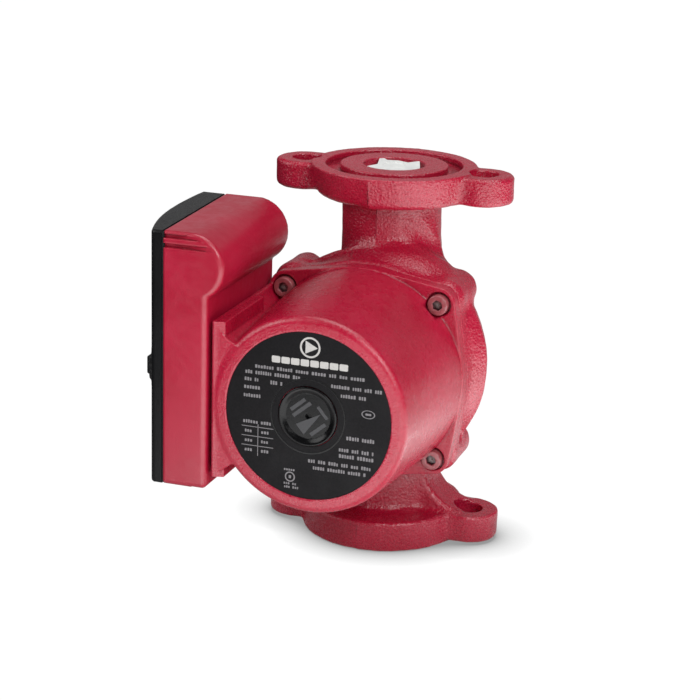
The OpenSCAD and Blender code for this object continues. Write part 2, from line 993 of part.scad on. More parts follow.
module switch_wiper() {
  color(brass)
    difference() {
      union() {
        rod_x(5.5, -63, -60, knob_y, knob_z);
        block([-63, knob_y - 2, knob_z], [-60, knob_y + 2, knob_z + 8.3]);
      }
      rod_x(spindle_r, -64, -59, knob_y, knob_z);
    }
}

pump_housing();
neck_ring();
check_valve_cage();
check_valve_o_ring();
check_valve_poppet();
check_valve_spring();
housing_gasket();
bearing_plate();
rear_bearing();
rotor_can();
can_o_ring();
front_bearing();
front_bearing_plate();
rotor_shaft();
rotor_core();
rotor_sleeve();
thrust_bearing();
thrust_bearing_mount();
impeller_back_plate();
impeller_blades();
impeller_front_plate();
impeller_clip();
motor_housing();
housing_screws();
nameplate();
vent_plug();
vent_plug_seal();
stator_core();
front_winding();
rear_winding();
winding_insulators();
lead_wires();
box_gasket();
terminal_box();
box_screws();
cover_gasket();
terminal_cover();
cover_screws();
capacitor();
capacitor_clip();
terminal_block();
terminal_screws();
ground_screw();
switch_body();
jumper_wires();
speed_knob();
selector_spindle();
switch_wiper();
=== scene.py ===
"""Looks of a wet-rotor circulator pump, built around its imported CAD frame.

Cast and moulded pieces are drawn as distance fields in millimetres and meshed here.
"""

import math

import bpy
import numpy as np
from mathutils import Matrix, Vector


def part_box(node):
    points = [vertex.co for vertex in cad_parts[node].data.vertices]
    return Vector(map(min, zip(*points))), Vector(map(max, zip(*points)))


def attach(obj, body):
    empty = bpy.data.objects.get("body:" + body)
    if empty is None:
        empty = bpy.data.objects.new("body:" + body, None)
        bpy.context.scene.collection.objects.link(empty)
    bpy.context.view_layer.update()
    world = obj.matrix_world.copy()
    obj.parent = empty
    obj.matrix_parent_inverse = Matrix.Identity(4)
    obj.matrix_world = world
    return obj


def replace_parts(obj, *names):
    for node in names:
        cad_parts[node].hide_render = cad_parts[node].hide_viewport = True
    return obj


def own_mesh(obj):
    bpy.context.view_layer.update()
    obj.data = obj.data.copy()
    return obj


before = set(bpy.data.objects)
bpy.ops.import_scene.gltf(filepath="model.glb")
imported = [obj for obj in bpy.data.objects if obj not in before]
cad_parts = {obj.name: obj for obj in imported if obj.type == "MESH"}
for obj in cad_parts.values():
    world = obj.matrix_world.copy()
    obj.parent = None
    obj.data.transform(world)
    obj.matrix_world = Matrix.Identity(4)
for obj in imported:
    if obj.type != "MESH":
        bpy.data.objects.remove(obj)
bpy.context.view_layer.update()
MM = 0.001


def box_mm(node):
    """Lowest and highest corner of a CAD node in millimetres."""
    lo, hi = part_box(node)
    return np.array(lo) / MM, np.array(hi) / MM


HOUSING_HI = box_mm("pump_housing")[1]
MOTOR_LO, MOTOR_HI = box_mm("motor_housing")
BOX_LO, BOX_HI = box_mm("terminal_box")
COVER_LO, COVER_HI = box_mm("terminal_cover")
PLATE_LO, PLATE_HI = box_mm("nameplate")
PLUG_LO, PLUG_HI = box_mm("vent_plug")
KNOB_LO, KNOB_HI = box_mm("speed_knob")
CAGE_LO, CAGE_HI = box_mm("check_valve_cage")

TOP = HOUSING_HI[2]
AXIS_Z = (PLATE_LO[2] + PLATE_HI[2]) / 2
PLATE_R = (PLATE_HI[0] - PLATE_LO[0]) / 2
PLATE_FACE = PLATE_LO[1]
PLUG_R = (PLUG_HI[0] - PLUG_LO[0]) / 2
FRONT = MOTOR_LO[1]
JOINT = MOTOR_HI[1]
PAD_X = MOTOR_LO[0]
KNOB_Y = (KNOB_LO[1] + KNOB_HI[1]) / 2
KNOB_Z = (KNOB_LO[2] + KNOB_HI[2]) / 2

FLANGE_T = 12.7
FLANGE_R = 36.0
FLANGE_INSET = 0.4
FLANGE_DRAFTS = (0.22, 0.13)
MOULD_STEP = 0.3
LUG_R = 13.0
LUG_X = 40.0
LUG_DROP = 0.8
BOLT_HOLE_R = 6.35
GROOVE_RO = 29.7
GROOVE_RI = 23.2
GROOVE_DEEP = 2.8
PORT_R = 13.0
SEAT_R = 13.4
NECK_R = 21.4
PASSAGE_R = 11.5
THROAT_R = 10.0
IMPELLER_R = 34.0
SCROLL_RING_R = 38.0
EAR = 34.0
EAR_R = 6.75
RIM_R = 41.0
RIM_SOFT = 2.8
REAR_R = 45.4
JOINT_R = 45.8
JOINT_T = 6.5
STATOR_BORE_R = 38.05
SCROLL = (-1.5, AXIS_Z + 3.5)
SCROLL_Y = -20.0
WIDE_R = 45.0
CONE_R = 40
CONE_RISE, CONE_RUN = 10, 13
CHAMBER_R = 30.0
BULGE = (-50.0, 138.1)
BULGE_R = 13.9
WALL = 2.2
GROOVES = ((149.15, 150.85, -44.0), (145.3, 147.2, -39.6))
ENTRY = (-54.4, -60.0)
COVER_SCREWS = ((-93.0, 54.0), (-41.0, 144.0))
BOX_SCREWS = ((-60.0, 62.0), (-60.0, 105.0))
WIRE_HOLE = (-92.0, 84.0)
GROUND_SCREW = (-84.0, 60.0)
BOX_RIGHT = -43.0
CABLE_R = 8.15
KNOB_AXIS = (KNOB_Y, KNOB_Z)
SCALLOPS = 14
RECESS_R = 15.4
RECESS_X = -74.5
SCREW_HEAD_R = 4.25
SCREW_LONG = 26
MOTOR_AXIS = (0, AXIS_Z)


# ---- distance fields: p holds rows x, y, z in millimetres ----


def corner(a, b):
    """Distance to a shape bounded by two limits that meet at a right angle."""
    inside = np.minimum(np.maximum(a, b), 0)
    return inside + np.hypot(np.maximum(a, 0), np.maximum(b, 0))


def prism(flat, height, lo, hi, soft=0.0):
    """A flat outline's distance drawn out between two heights, with rounded edges."""
    along = np.abs(height - (lo + hi) / 2) - (hi - lo) / 2
    return corner(flat + soft, along + soft) - soft


def two_edges(flat, depth, top, bottom, top_soft, bottom_soft):
    """Prism whose two ends are rounded differently."""
    middle = (top + bottom) / 2
    a = np.where(depth < middle, top_soft, bottom_soft)
    along = np.abs(depth - middle) - (bottom - top) / 2
    return corner(flat + a, along + a) - a


def round_bar(p, axis, centre, r, lo, hi, soft=0.0):
    """Round bar along one axis, centred on the other two coordinates."""
    u, v = [a for a in range(3) if a != axis]
    return prism(np.hypot(p[u] - centre[0], p[v] - centre[1]) - r, p[axis], lo, hi, soft)


def ring_y(p, centre, y, ring_r, tube_r):
    """Ring of round section about an axis parallel to Y."""
    out = np.hypot(p[0] - centre[0], p[2] - centre[1]) - ring_r
    return np.hypot(out, p[1] - y) - tube_r


def block(p, lo, hi, soft=0.0):
    """Block between two corners, with rounded edges."""
    q = [np.abs(p[i] - (lo[i] + hi[i]) / 2) - (hi[i] - lo[i]) / 2 + soft for i in range(3)]
    out = np.sqrt(sum(np.maximum(a, 0) ** 2 for a in q))
    return out + np.minimum(np.maximum(np.maximum(q[0], q[1]), q[2]), 0) - soft


def capsule(p, a, b, r):
    """Bar with round ends between two points."""
    a, b = np.array(a, float), np.array(b, float)
    d = b - a
    w = [p[i] - a[i] for i in range(3)]
    t = np.clip(sum(w[i] * d[i] for i in range(3)) / (d @ d), 0, 1)
    return np.sqrt(sum((w[i] - t * d[i]) ** 2 for i in range(3))) - r


def polygon(u, v, points):
    """Signed distance to a closed polygon."""
    best = np.full(u.shape, 1e18)
    sign = np.ones(u.shape)
    for i, (ax, ay) in enumerate(points):
        bx, by = points[(i + 1) % len(points)]
        ex, ey = bx - ax, by - ay
        wx, wy = u - ax, v - ay
        t = np.clip((wx * ex + wy * ey) / (ex * ex + ey * ey), 0, 1)
        best = np.minimum(best, (wx - t * ex) ** 2 + (wy - t * ey) ** 2)
        up, down = v >= ay, v < by
        left = ex * wy > ey * wx
        sign = np.where((up & down & left) | (~up & ~down & ~left), -sign, sign)
    return sign * np.sqrt(best)


def smooth(t):
    """Soft step from 0 to 1."""
    t = np.clip(t, 0, 1)
    return t * t * (3 - 2 * t)


def melt(a, b, k):
    """Union of two shapes with a fillet about k wide."""
    h = np.maximum(k - np.abs(a - b), 0) / k
    return np.minimum(a, b) - h * h * k / 4


def carve(a, b, k=0.3):
    """Shape a with shape b cut out, the new edge softened by about k."""
    return -melt(-a, b, k)


def bored(body, p, axis, places, r, lo, hi, k):
    """The body with round holes along one axis."""
    for place in places:
        body = carve(body, round_bar(p, axis, place, r, lo, hi), k)
    return body


def ear_outline(p, r, ear_r):
    """Outline of the joint: a round body with four ears and tangent flanks."""
    ax, az = np.abs(p[0]), np.abs(p[2] - AXIS_Z)
    along = (ax + az) / math.sqrt(2)
    across = np.abs(ax - az) / math.sqrt(2)
    h = EAR * math.sqrt(2)
    b = (r - ear_r) / h
    a = math.sqrt(1 - b * b)
    k = a * along - b * across
    flank = a * across + b * along - r
    tip = np.hypot(across, along - h) - ear_r
    return np.where(k < 0, np.hypot(across, along) - r, np.where(k > a * h, tip, flank))


def at_ears(p, r, lo, hi, soft=0.0):
    """Four round bars at the ears."""
    ax, az = np.abs(p[0]) - EAR, np.abs(p[2] - AXIS_Z) - EAR
    return prism(np.hypot(ax, az) - r, p[1], lo, hi, soft)


def waviness(p, size):
    """Slow unevenness of a sand casting."""
    slow = np.sin(0.31 * p[0] + 1.3) * np.sin(0.27 * p[1] + 0.4) * np.sin(0.23 * p[2] + 2.1)
    quick = np.sin(0.83 * p[0] - 0.4 * p[2]) * np.sin(0.71 * p[1] + 0.5 * p[2] + 1.0)
    return size * (slow + 0.45 * quick)


# ---- pump housing ----


def ridge(p, r, degrees):
    """Parting line of a casting: a slight ridge on its front and back."""
    a = math.radians(degrees)
    ax, ay = np.abs(p[0]), np.abs(p[1])
    return np.maximum(ax * math.sin(a) + ay * math.cos(a) - r, ax - r * math.sin(a))


def pipe_flange(p, h, taper, edge, bend):
    """Two-bolt flange; h is the depth below its face, bend the angle of its parting line."""
    draft = np.clip(h, 0, FLANGE_T) * np.where(p[0] < 0, *FLANGE_DRAFTS) * taper
    r = np.hypot(p[0], p[1])
    step = MOULD_STEP * (p[0] > 0) * (p[1] < 0)
    crease = ridge(p, FLANGE_R - FLANGE_INSET, bend)
    disc = np.minimum(r - FLANGE_R + FLANGE_INSET, crease) - step + draft
    lug = np.hypot(np.abs(p[0]) - LUG_X, p[1]) - LUG_R
    outline = melt(disc + 0.7, lug, 7.0)
    body = two_edges(disc * 0.98, h, 0, FLANGE_T, 0.7, edge)
    lugs = two_edges(outline, h, LUG_DROP, FLANGE_T, 1.7, edge)
    return melt(body, lugs, 1.4)


def flange_cuts(p, h):
    """Gasket groove and bolt holes of one flange."""
    r = np.hypot(p[0], p[1])
    groove = prism(np.maximum(r - GROOVE_RO, GROOVE_RI - r), h, -5, GROOVE_DEEP)
    hole = np.hypot(np.abs(p[0]) - LUG_X, p[1]) - BOLT_HOLE_R
    return np.minimum(groove, hole)


def lug_web(p):
    """Web that runs from the lower neck out onto each lug."""
    hollow_x, hollow_z, hollow_r = 46.0, 38.0, 26.0
    reach, low, high, half = 38.0, 5.0, 32.0, 10.5
    ax = np.abs(p[0])
    hollow = hollow_r - np.hypot(ax - hollow_x, p[2] - hollow_z)
    flat = np.maximum(np.maximum(hollow, ax - reach), np.maximum(p[2] - high, low - p[2]))
    return prism(flat, p[1], -half, half, 2.5)


def neck(p):
    """Upper neck: a step where the mould halves meet, and a flare and a dent on the right."""
    x = p[0] + 0.3
    flat = np.minimum(np.hypot(x, p[1]) - NECK_R, ridge(p, NECK_R, 15))
    step = 2 * MOULD_STEP * (p[0] > 0) * (p[1] < 0)
    tube = prism(flat - step, p[2], AXIS_Z, TOP - 5, 0.5)
    flare_r, dent_r = 8.0, 4.6
    flare = capsule(p, (13.0, -8.0, 132.5), (32.0, -17.0, 113.0), flare_r)
    tube = melt(tube, flare, flare_r)
    dent = capsule(p, (15.0, -21.0, 143.0), (27.5, -10.0, 132.5), dent_r)
    return carve(tube, dent, 3.0)


def volute(p):
    """Scroll-shaped chamber round the impeller, smaller at the upper left where it begins."""
    tube_r = 12.0
    x, z = p[0] - SCROLL[0] - 1.2, p[2] - SCROLL[1]
    turn = np.degrees(np.arctan2(z, x)) % 360
    small = smooth((turn - 75) / 35) * (1 - smooth((turn - 130) / 120))
    r = np.hypot(x, z) + 5.5 * small
    body = np.hypot(r - SCROLL_RING_R, p[1] - SCROLL_Y) - tube_r
    disc = prism(r - SCROLL_RING_R, p[1], SCROLL_Y - tube_r, SCROLL_Y + tube_r)
    wide = round_bar(p, 1, (SCROLL[0] / 2, AXIS_Z + 1.75), WIDE_R, JOINT + 1, SCROLL_Y, 1.0)
    r = np.hypot(p[0], p[2] - AXIS_Z)
    cone = prism((r - CONE_R + (p[1] + 9) * CONE_RISE / CONE_RUN) * 0.79, p[1], SCROLL_Y, 4)
    chamber = round_bar(p, 1, MOTOR_AXIS, CHAMBER_R, SCROLL_Y, 22, 8.0)
    return melt(melt(melt(np.minimum(body, disc), wide, 3.0), cone, 5.0), chamber, 7.0)


def housing_outside(p):
    """Outer skin of the pump housing before machining."""
    low_flange = pipe_flange(p, p[2], 0.1, 1.1, 6)
    top_flange = pipe_flange(p, TOP - p[2], 1.0, 2.2, 11)
    low = np.minimum(np.hypot(p[0], p[1]) - NECK_R, ridge(p, NECK_R, 16))
    low_neck = prism(low, p[2], 3, AXIS_Z, 0.5)
    body = melt(volute(p), melt(neck(p), top_flange, 3.0), 4.0)
    body = melt(body, low_neck, 7.0)
    body = melt(body, melt(low_flange, lug_web(p), 3.0), 4.5)
    body = melt(body, at_ears(p, 8.0, JOINT, -8.0, 4.0), 3.0)
    body = body - 0.1 - waviness(p, 0.12)
    plate = prism(ear_outline(p, JOINT_R, EAR_R), p[1], JOINT, JOINT + 7, 0.7)
    body = melt(body, plate, 2.0)
    cut_half_height = 60.0
    joint_cut = np.maximum(p[1] - JOINT, np.abs(p[2] - AXIS_Z) - cut_half_height)
    return np.maximum(np.maximum(body, -joint_cut), np.maximum(-p[2], p[2] - TOP))


def waterway(p):
    """Everything inside the housing that water or the rotor fills."""
    foot = CAGE_LO[2]
    cuts = [
        round_bar(p, 2, (0, 0), PORT_R, -1, 34),
        round_bar(p, 2, (0, 3.5), PASSAGE_R, 33, AXIS_Z),
        round_bar(p, 2, (0, 0), SEAT_R, foot, TOP + 1),
        round_bar(p, 2, (0, 0), THROAT_R, foot - 6, foot + 1),
        capsule(p, (12, -22, 114), (0, 0, foot + 0.5), 8.5),
        round_bar(p, 1, MOTOR_AXIS, 16.5, -12, 16),
        round_bar(p, 1, MOTOR_AXIS, 14.0, -17, -11),
        ring_y(p, SCROLL, -22.0, IMPELLER_R - 1, 7.0),
        round_bar(p, 1, MOTOR_AXIS, IMPELLER_R, JOINT - 1, -16),
    ]
    return np.minimum.reduce(cuts)


def housing(p):
    """Pump housing with its machined faces and bores."""
    body = housing_outside(p)
    for cut in (flange_cuts(p, p[2]), flange_cuts(p, TOP - p[2]), waterway(p)):
        body = carve(body, cut, 0.5)
    body = carve(body, at_ears(p, 2.55, JOINT - 1, -15), 0.1)
    flat_side = block(p, (-60, JOINT - 1, 40), (-41.6, -29, 125))
    pry_slot = block(p, (43.4, JOINT - 0.5, 79), (50, JOINT + 1, 92), 0.3)
    return carve(carve(body, flat_side, 0.4), pry_slot, 0.2)


def housing_raw(p):
    """1 where the housing is bare iron inside, 0 where it is painted."""
    inside = np.clip(0.5 - waterway(p), 0, 1)
    depth = np.minimum(np.minimum(p[2] - 5, CAGE_HI[2] - 6 - p[2]) / 2, (p[1] - JOINT - 0.2) * 3)
    return inside * np.clip(depth, 0, 1)


# ---- motor housing ----


def motor_pad(p):
    """Pad at the side of the motor that carries the terminal box."""
    low, high = 51, 117
    edge = [(PAD_X, low), (PAD_X, high), (PAD_X + 1.8, high),
            (-26, 112), (-15, 100), (-15, 65), (-33, 57.2)]
    flat = polygon(p[0], p[2], edge)
    flat = carve(flat, np.hypot(p[0] + 27.5, p[2] - 119.5) - 12.0, 1.0)
    pad = prism(flat, p[1], FRONT + 0.6, -40.5, 0.5)
    bead = block(p, (PAD_X, FRONT, 51.2), (PAD_X + 5, -60, 116.8), 0.3)
    slant = math.radians(15)
    face = (p[0] - PAD_X) * math.sin(slant) - (p[1] - FRONT) * math.cos(slant)
    return melt(pad, np.maximum(bead, face), 0.3)


def motor(p):
    """Motor housing with its front rim, ears, pad and bores."""
    r = np.hypot(p[0], p[2] - AXIS_Z)
    rear = JOINT - JOINT_T
    slope = (REAR_R - RIM_R) / (rear - FRONT - RIM_SOFT)
    side = (r - RIM_R - slope * (p[1] - FRONT - RIM_SOFT)) * math.cos(math.atan(slope))
    rim = corner(side + RIM_SOFT, FRONT - p[1] + RIM_SOFT) - RIM_SOFT
    body = np.maximum(rim, p[1] - JOINT)
    flange = prism(ear_outline(p, JOINT_R, EAR_R), p[1], rear, JOINT, 0.4)
    body = melt(np.maximum(body, p[1] - JOINT), flange, 0.7)
    body = melt(body, motor_pad(p), 1.2)
    body = np.maximum(body, PAD_X - p[0])
    body = carve(body, at_ears(p, 5.2, JOINT - 12, JOINT - 4), 0.5)
    body = carve(body, at_ears(p, 2.75, JOINT - 9, JOINT + 1), 0.2)
    for bore_r, deep in ((PLATE_R + 0.1, 0.8), (PLUG_R + 0.1, 2.5), (7.05, 6.0)):
        body = bored(body, p, 1, [MOTOR_AXIS], bore_r, FRONT - 2, FRONT + deep, 0.25)
    body = bored(body, p, 1, [MOTOR_AXIS], STATOR_BORE_R, FRONT + 4.5, JOINT + 1, 0.3)
    body = bored(body, p, 0, [WIRE_HOLE], 5.5, PAD_X - 1, -33, 0.3)
    return bored(body, p, 0, BOX_SCREWS, 2.05, PAD_X - 1, -32, 0.2)


# ---- terminal box and its cover ----


def join_x(y):
    """Where box and cover meet."""
    return -62 - 3 * (y - BOX_LO[1]) / (BOX_HI[1] - BOX_LO[1])


def cover_x(y):
    """Outer face of the cover."""
    front = 0.000468 * np.maximum(-47 - y, 0) ** 2.44
    return -76.2 + front + 0.0022 * np.maximum(y + 47, 0) ** 2


def box_groove(p, low, high, x0, x1):
    """Groove in the box's front face that runs out to the right."""
    flat = block(p, (x0, -1e3, low), (x1, 1e3, high), 0.8)
    deep = 1.5 * np.clip((x1 - p[0]) / (x1 - x0) * 2.2, 0.12, 1)
    return np.maximum(flat, p[1] - BOX_LO[1] - deep)


def box_solid(p, inset, front, rear):
    """Box and capacitor bulge as one solid, made smaller by inset."""
    flat = block(p, (-90, -1e3, BOX_LO[2] + inset), (BOX_RIGHT - inset, 1e3, BULGE[1]), front)
    upper = block(p, (-90, -1e3, BOX_LO[2] + inset), (BULGE[0], 1e3, BOX_HI[2] - inset), 0.0)
    bulge = np.hypot(p[0] - BULGE[0], p[2] - BULGE[1]) - BULGE_R + inset
    flat = melt(np.minimum(upper, bulge), flat, 1.0)
    middle = (BOX_LO[1] + BOX_HI[1]) / 2
    along = np.abs(p[1] - middle) - (BOX_HI[1] - BOX_LO[1]) / 2 + inset
    soft = np.where(p[1] < middle, front, rear)
    return corner(flat + soft, along + soft) - soft


def terminal_box(p):
    """Box with the capacitor's bulge along its top corner."""
    body = carve(box_solid(p, 0.0, 2.3, 0.6), box_solid(p, WALL, 0.8, 0.8), 0.4)
    low = BOX_LO[2]
    for y, z in COVER_SCREWS:
        end = -41 if z > 120 else -44
        body = np.minimum(body, round_bar(p, 0, (y, z), 3.6, -68, end, 0.1))
    body = np.minimum(body, round_bar(p, 2, ENTRY, 9.0, low + 0.4, low + 6, 0.3))
    body = carve(body, (p[0] - join_x(p[1]) - 0.4), 0.35)
    body = bored(body, p, 0, COVER_SCREWS, 1.6, -70, -46, 0.2)
    body = bored(body, p, 2, [ENTRY], CABLE_R, low - 1, low + 8, 0.3)
    body = bored(body, p, 0, [WIRE_HOLE], 6.5, -48, -42, 0.3)
    body = bored(body, p, 0, [GROUND_SCREW], 1.45, -48, BOX_RIGHT - 0.9, 0.1)
    body = bored(body, p, 0, BOX_SCREWS, 2.2, -48, -42, 0.2)
    for under, over, right in GROOVES:
        body = carve(body, box_groove(p, under, over, -70.0, right), 0.35)
    return body


def terminal_cover(p):
    """Black cover with the speed knob's round recess."""
    face = (cover_x(p[1]) - p[0]) * 0.97
    middle, half = (COVER_LO + COVER_HI) / 2, (COVER_HI - COVER_LO) / 2
    width = np.abs(p[1] - middle[1]) - half[1]
    tall = np.abs(p[2] - middle[2]) - half[2]
    soft = 1.3
    rim = corner(width + soft, tall + soft) - soft
    body = corner(face + soft, rim + soft) - soft
    inner = np.maximum(np.maximum(face, width), tall) + WALL
    body = carve(body, inner, 0.4)
    body = np.minimum(body, round_bar(p, 0, KNOB_AXIS, 16.2, -75.2, -72.3, 0.4))
    for y, z in COVER_SCREWS:
        body = np.minimum(body, round_bar(p, 0, (y, z), 4.2, cover_x(y) + 1.5, -60))
    body = np.maximum(body, p[0] - join_x(p[1]) + 0.4)
    body = bored(body, p, 0, [KNOB_AXIS], RECESS_R, -80, RECESS_X, 0.3)
    body = bored(body, p, 0, [KNOB_AXIS], 3.4, -80, -60, 0.1)
    for place in COVER_SCREWS:
        body = bored(body, p, 0, [place], 1.9, -80, -55, 0.1)
        body = bored(body, p, 0, [place], 3.4, -80, cover_x(place[0]) + 3, 0.3)
    return body


# ---- small pieces ----


def knob(p):
    """Scalloped speed knob with a grip bar."""
    y, z = p[1] - KNOB_Y, p[2] - KNOB_Z
    r, turn = np.hypot(y, z), np.arctan2(z, y)
    step = 2 * math.pi / SCALLOPS
    turn = (turn + step / 2) % step - step / 2
    notch = np.hypot(r * np.cos(turn) - 16.1, r * np.sin(turn)) - 2.0
    disc = prism(carve(r - 15.0, notch, 0.8), p[0], -77.6, -74.6, 0.5)
    grip = block(p, (-80.3, KNOB_Y - 11, KNOB_Z - 4), (-76.6, KNOB_Y + 11, KNOB_Z + 4), 0.9)
    body = melt(disc, grip, 0.8)
    mark = block(p, (-82, KNOB_Y + 5, KNOB_Z - 0.7), (-79.6, KNOB_Y + 13, KNOB_Z + 0.7))
    return carve(carve(body, mark, 0.2), round_bar(p, 0, KNOB_AXIS, 3.0, -79.2, -70), 0.1)


def cap_screw(p):
    """Socket head screw along Y, its head's front face at y = 0."""
    r = np.hypot(p[0], p[2])
    head = prism(r - SCREW_HEAD_R, p[1], 0, 5, 0.45)
    thread = 0.12 * (1 + np.sin(p[1] * 2 * math.pi / 0.8))
    shank = prism(r - 2.5 + thread, p[1], 4.5, SCREW_LONG, 0.2)
    turn = (np.arctan2(p[2], p[0]) + math.pi / 6) % (math.pi / 3) - math.pi / 6
    socket = prism(r * np.cos(turn) - 2.0, p[1], -1, 2.0)
    cone = np.maximum(r - 2.25 + p[1] * 0.9, -1 - p[1])
    return carve(carve(np.minimum(head, shank), socket, 0.12), cone, 0.1)


def vent_plug(p):
    """Dished centre plug with a thread behind it."""
    r = np.hypot(p[0], p[2] - AXIS_Z)
    y = p[1] - PLUG_LO[1]
    body = prism(r - PLUG_R, y, 0, 2.9, 0.45)
    body = np.minimum(body, prism(r - 7.0, y, 2.7, 5.0, 0.1))
    body = np.minimum(body, prism(r - 5.5, y, 4.9, 7.1, 0.2))
    dish = np.maximum((r - 11.2 + 1.6 * y) * 0.53, y - 1.1)
    body = carve(body, dish, 0.35)
    return carve(body, prism(r - 1.2, y, -1, 2.4), 0.3)


# ---- meshing ----


def sampled(field, lo, count, cell):
    """The field on a grid, worked out only near the surface."""
    step = 4
    blocks = -(-count // step)
    axes = [lo[i] + (np.arange(blocks[i]) + 0.5) * step * cell for i in range(3)]
    coarse = field(np.array(np.meshgrid(*axes, indexing="ij")).reshape(3, -1)).reshape(blocks)
    values = coarse
    for i in range(3):
        values = np.repeat(values, step, axis=i)
    near = np.abs(values) < step * cell * 1.3 + 1.2
    index = np.array(np.nonzero(near))
    points = lo[:, None] + index * cell
    batch = 400000
    starts = range(0, points.shape[1], batch)
    values[near] = np.concatenate([field(points[:, i:i + batch]) for i in starts])
    return values


def slopes(field, p, h):
    """Unit gradient of the field."""
    g = np.array([field(p + d) - field(p - d) for d in h * np.eye(3)[:, :, None]])
    return g / np.maximum(np.linalg.norm(g, axis=0), 1e-12)


def crossings(field, values, lo, cell, axis):
    """Grid edges along one axis where the surface passes: node index, point, normal, facing."""
    size = values.shape[axis]
    a = np.take(values, range(size - 1), axis)
    b = np.take(values, range(1, size), axis)
    index = np.array(np.nonzero((a < 0) != (b < 0)))
    f0, f1 = a[tuple(index)], b[tuple(index)]
    facing = f0 < 0
    t0, t1 = np.zeros(len(f0)), np.ones(len(f0))
    base = lo[:, None] + index * cell
    for _ in range(3):
        t = np.clip(t0 + (t1 - t0) * f0 / (f0 - f1), t0 + 1e-4, t1 - 1e-4)
        p = base.copy()
        p[axis] += t * cell
        f = field(p)
        same = (f < 0) == (f0 < 0)
        t0, f0 = np.where(same, t, t0), np.where(same, f, f0)
        t1, f1 = np.where(same, t1, t), np.where(same, f1, f)
    return index, p, slopes(field, p, 0.004), facing


def contour(field, lo, hi, cell):
    """Vertices and quads of the field's zero surface, with its creases kept (dual contouring)."""
    lo = np.array(lo, float) - 2.3 * cell
    count = np.ceil((np.array(hi, float) + 2.3 * cell - lo) / cell).astype(int) + 1
    values = sampled(field, lo, count, cell)
    shape = np.array(values.shape)
    stride = np.array([shape[1] * shape[2], shape[2], 1])
    cells, points, normals = [], [], []
    for axis in range(3):
        b, c = (axis + 1) % 3, (axis + 2) % 3
        index, p, n, facing = crossings(field, values, lo, cell, axis)
        home = stride @ index
        around = [home - i * stride[b] - j * stride[c] for i, j in ((1, 1), (0, 1), (0, 0), (1, 0))]
        around = np.array(around)
        around[:, ~facing] = around[::-1, ~facing]
        cells.append(around)
        points.append(p)
        normals.append(n)
    cells, points, normals = np.hstack(cells), np.hstack(points), np.hstack(normals)
    used, corner_of = np.unique(cells.ravel(), return_inverse=True)
    quads = corner_of.reshape(4, -1).T
    spot, slope = np.tile(points, 4), np.tile(normals, 4)
    where = corner_of.ravel()

    def gather(weights):
        return np.bincount(where, weights, len(used))

    number = gather(np.ones(len(where)))
    middle = np.array([gather(s) for s in spot]) / number
    reach = (slope * spot).sum(0)
    square = np.array([[gather(slope[i] * slope[j]) for j in range(3)] for i in range(3)])
    rest = np.array([gather(slope[i] * reach) for i in range(3)])
    rest -= np.einsum("ijk,jk->ik", square, middle)
    square = square.transpose(2, 0, 1) + 0.02 * np.eye(3)
    step = np.linalg.solve(square, rest.T[:, :, None])[:, :, 0].T
    low = lo[:, None] + np.array(np.unravel_index(used, shape)) * cell
    verts = np.clip(middle + step, low - 0.02 * cell, low + 1.02 * cell)
    return verts.T, quads


def placed(name, data):
    """A new object linked to the scene."""
    obj = bpy.data.objects.new(name, data)
    bpy.context.scene.collection.objects.link(obj)
    return obj


def mesh_from(name, verts, faces):
    """A Blender mesh from arrays of vertices and equal-sided faces, in millimetres."""
    mesh = bpy.data.meshes.new(name)
    sides = faces.shape[1]
    mesh.vertices.add(len(verts))
    mesh.vertices.foreach_set("co", (verts * MM).astype(np.float32).ravel())
    mesh.loops.add(faces.size)
    mesh.loops.foreach_set("vertex_index", faces.astype(np.int32).ravel())
    mesh.polygons.add(len(faces))
    mesh.polygons.foreach_set("loop_start", np.arange(0, faces.size, sides, dtype=np.int32))
    mesh.update(calc_edges=True)
    mesh.validate()
    return mesh


def thinned(mesh, faces):
    """The mesh with flat areas merged until about that many triangles are left."""
    obj = placed("thin", mesh)
    have = 2 * len(mesh.polygons)
    if have > faces:
        thin = obj.modifiers.new("thin", "DECIMATE")
        thin.ratio = faces / have
    graph = bpy.context.evaluated_depsgraph_get()
    result = bpy.data.meshes.new_from_object(obj.evaluated_get(graph))
    bpy.data.objects.remove(obj)
    bpy.data.meshes.remove(mesh)
    return result


def attribute(mesh, name, values):
    """Values at the mesh's points that its material reads."""
    made = mesh.attributes.new(name, "FLOAT", "POINT")
    made.data.foreach_set("value", values.astype(np.float32))


def read(items, what, wide=3, kind=np.float32):
    """One value or vector of each of a mesh's items, in rows."""
    found = np.zeros(len(items) * wide, kind)
    items.foreach_get(what, found)
    return found.reshape(-1, wide).T


def shade_from(mesh, field):
    """Corner normals from the field itself, and a curvature value that is high on outer edges, for
    edge wear, and low in hollows, for painted shade.
    """
    p = read(mesh.vertices, "co").astype(float) / MM
    loops = read(mesh.loops, "vertex_index", 1, np.int32)[0]
    totals = read(mesh.polygons, "loop_total", 1, np.int32)[0]
    face_of = np.repeat(np.arange(len(totals)), totals)
    flat = read(mesh.polygons, "normal")[:, face_of].astype(float)
    centre = read(mesh.polygons, "center")[:, face_of].astype(float) / MM
    normals = slopes(field, p, 0.01)[:, loops]
    odd = (normals * flat).sum(0) < 0.97
    near = p[:, loops[odd]]
    side = slopes(field, near + 0.2 * (centre[:, odd] - near), 0.01)
    apart = (side * normals[:, odd]).sum(0) < 0.93
    keep = normals[:, odd]
    keep[:, apart] = side[:, apart]
    normals[:, odd] = keep
    mesh.polygons.foreach_set("use_smooth", np.ones(len(totals), bool))
    mesh.normals_split_custom_set(normals.T)
    h = 0.6
    bend = -6 * field(p)
    for d in h * np.eye(3)[:, :, None]:
        bend += field(p + d) + field(p - d)
    # Curvature: positive on outer edges where paint wears thin, negative in hollows where materials
    # paint shade.
    attribute(mesh, "wear_and_shade", bend / h)
    return p


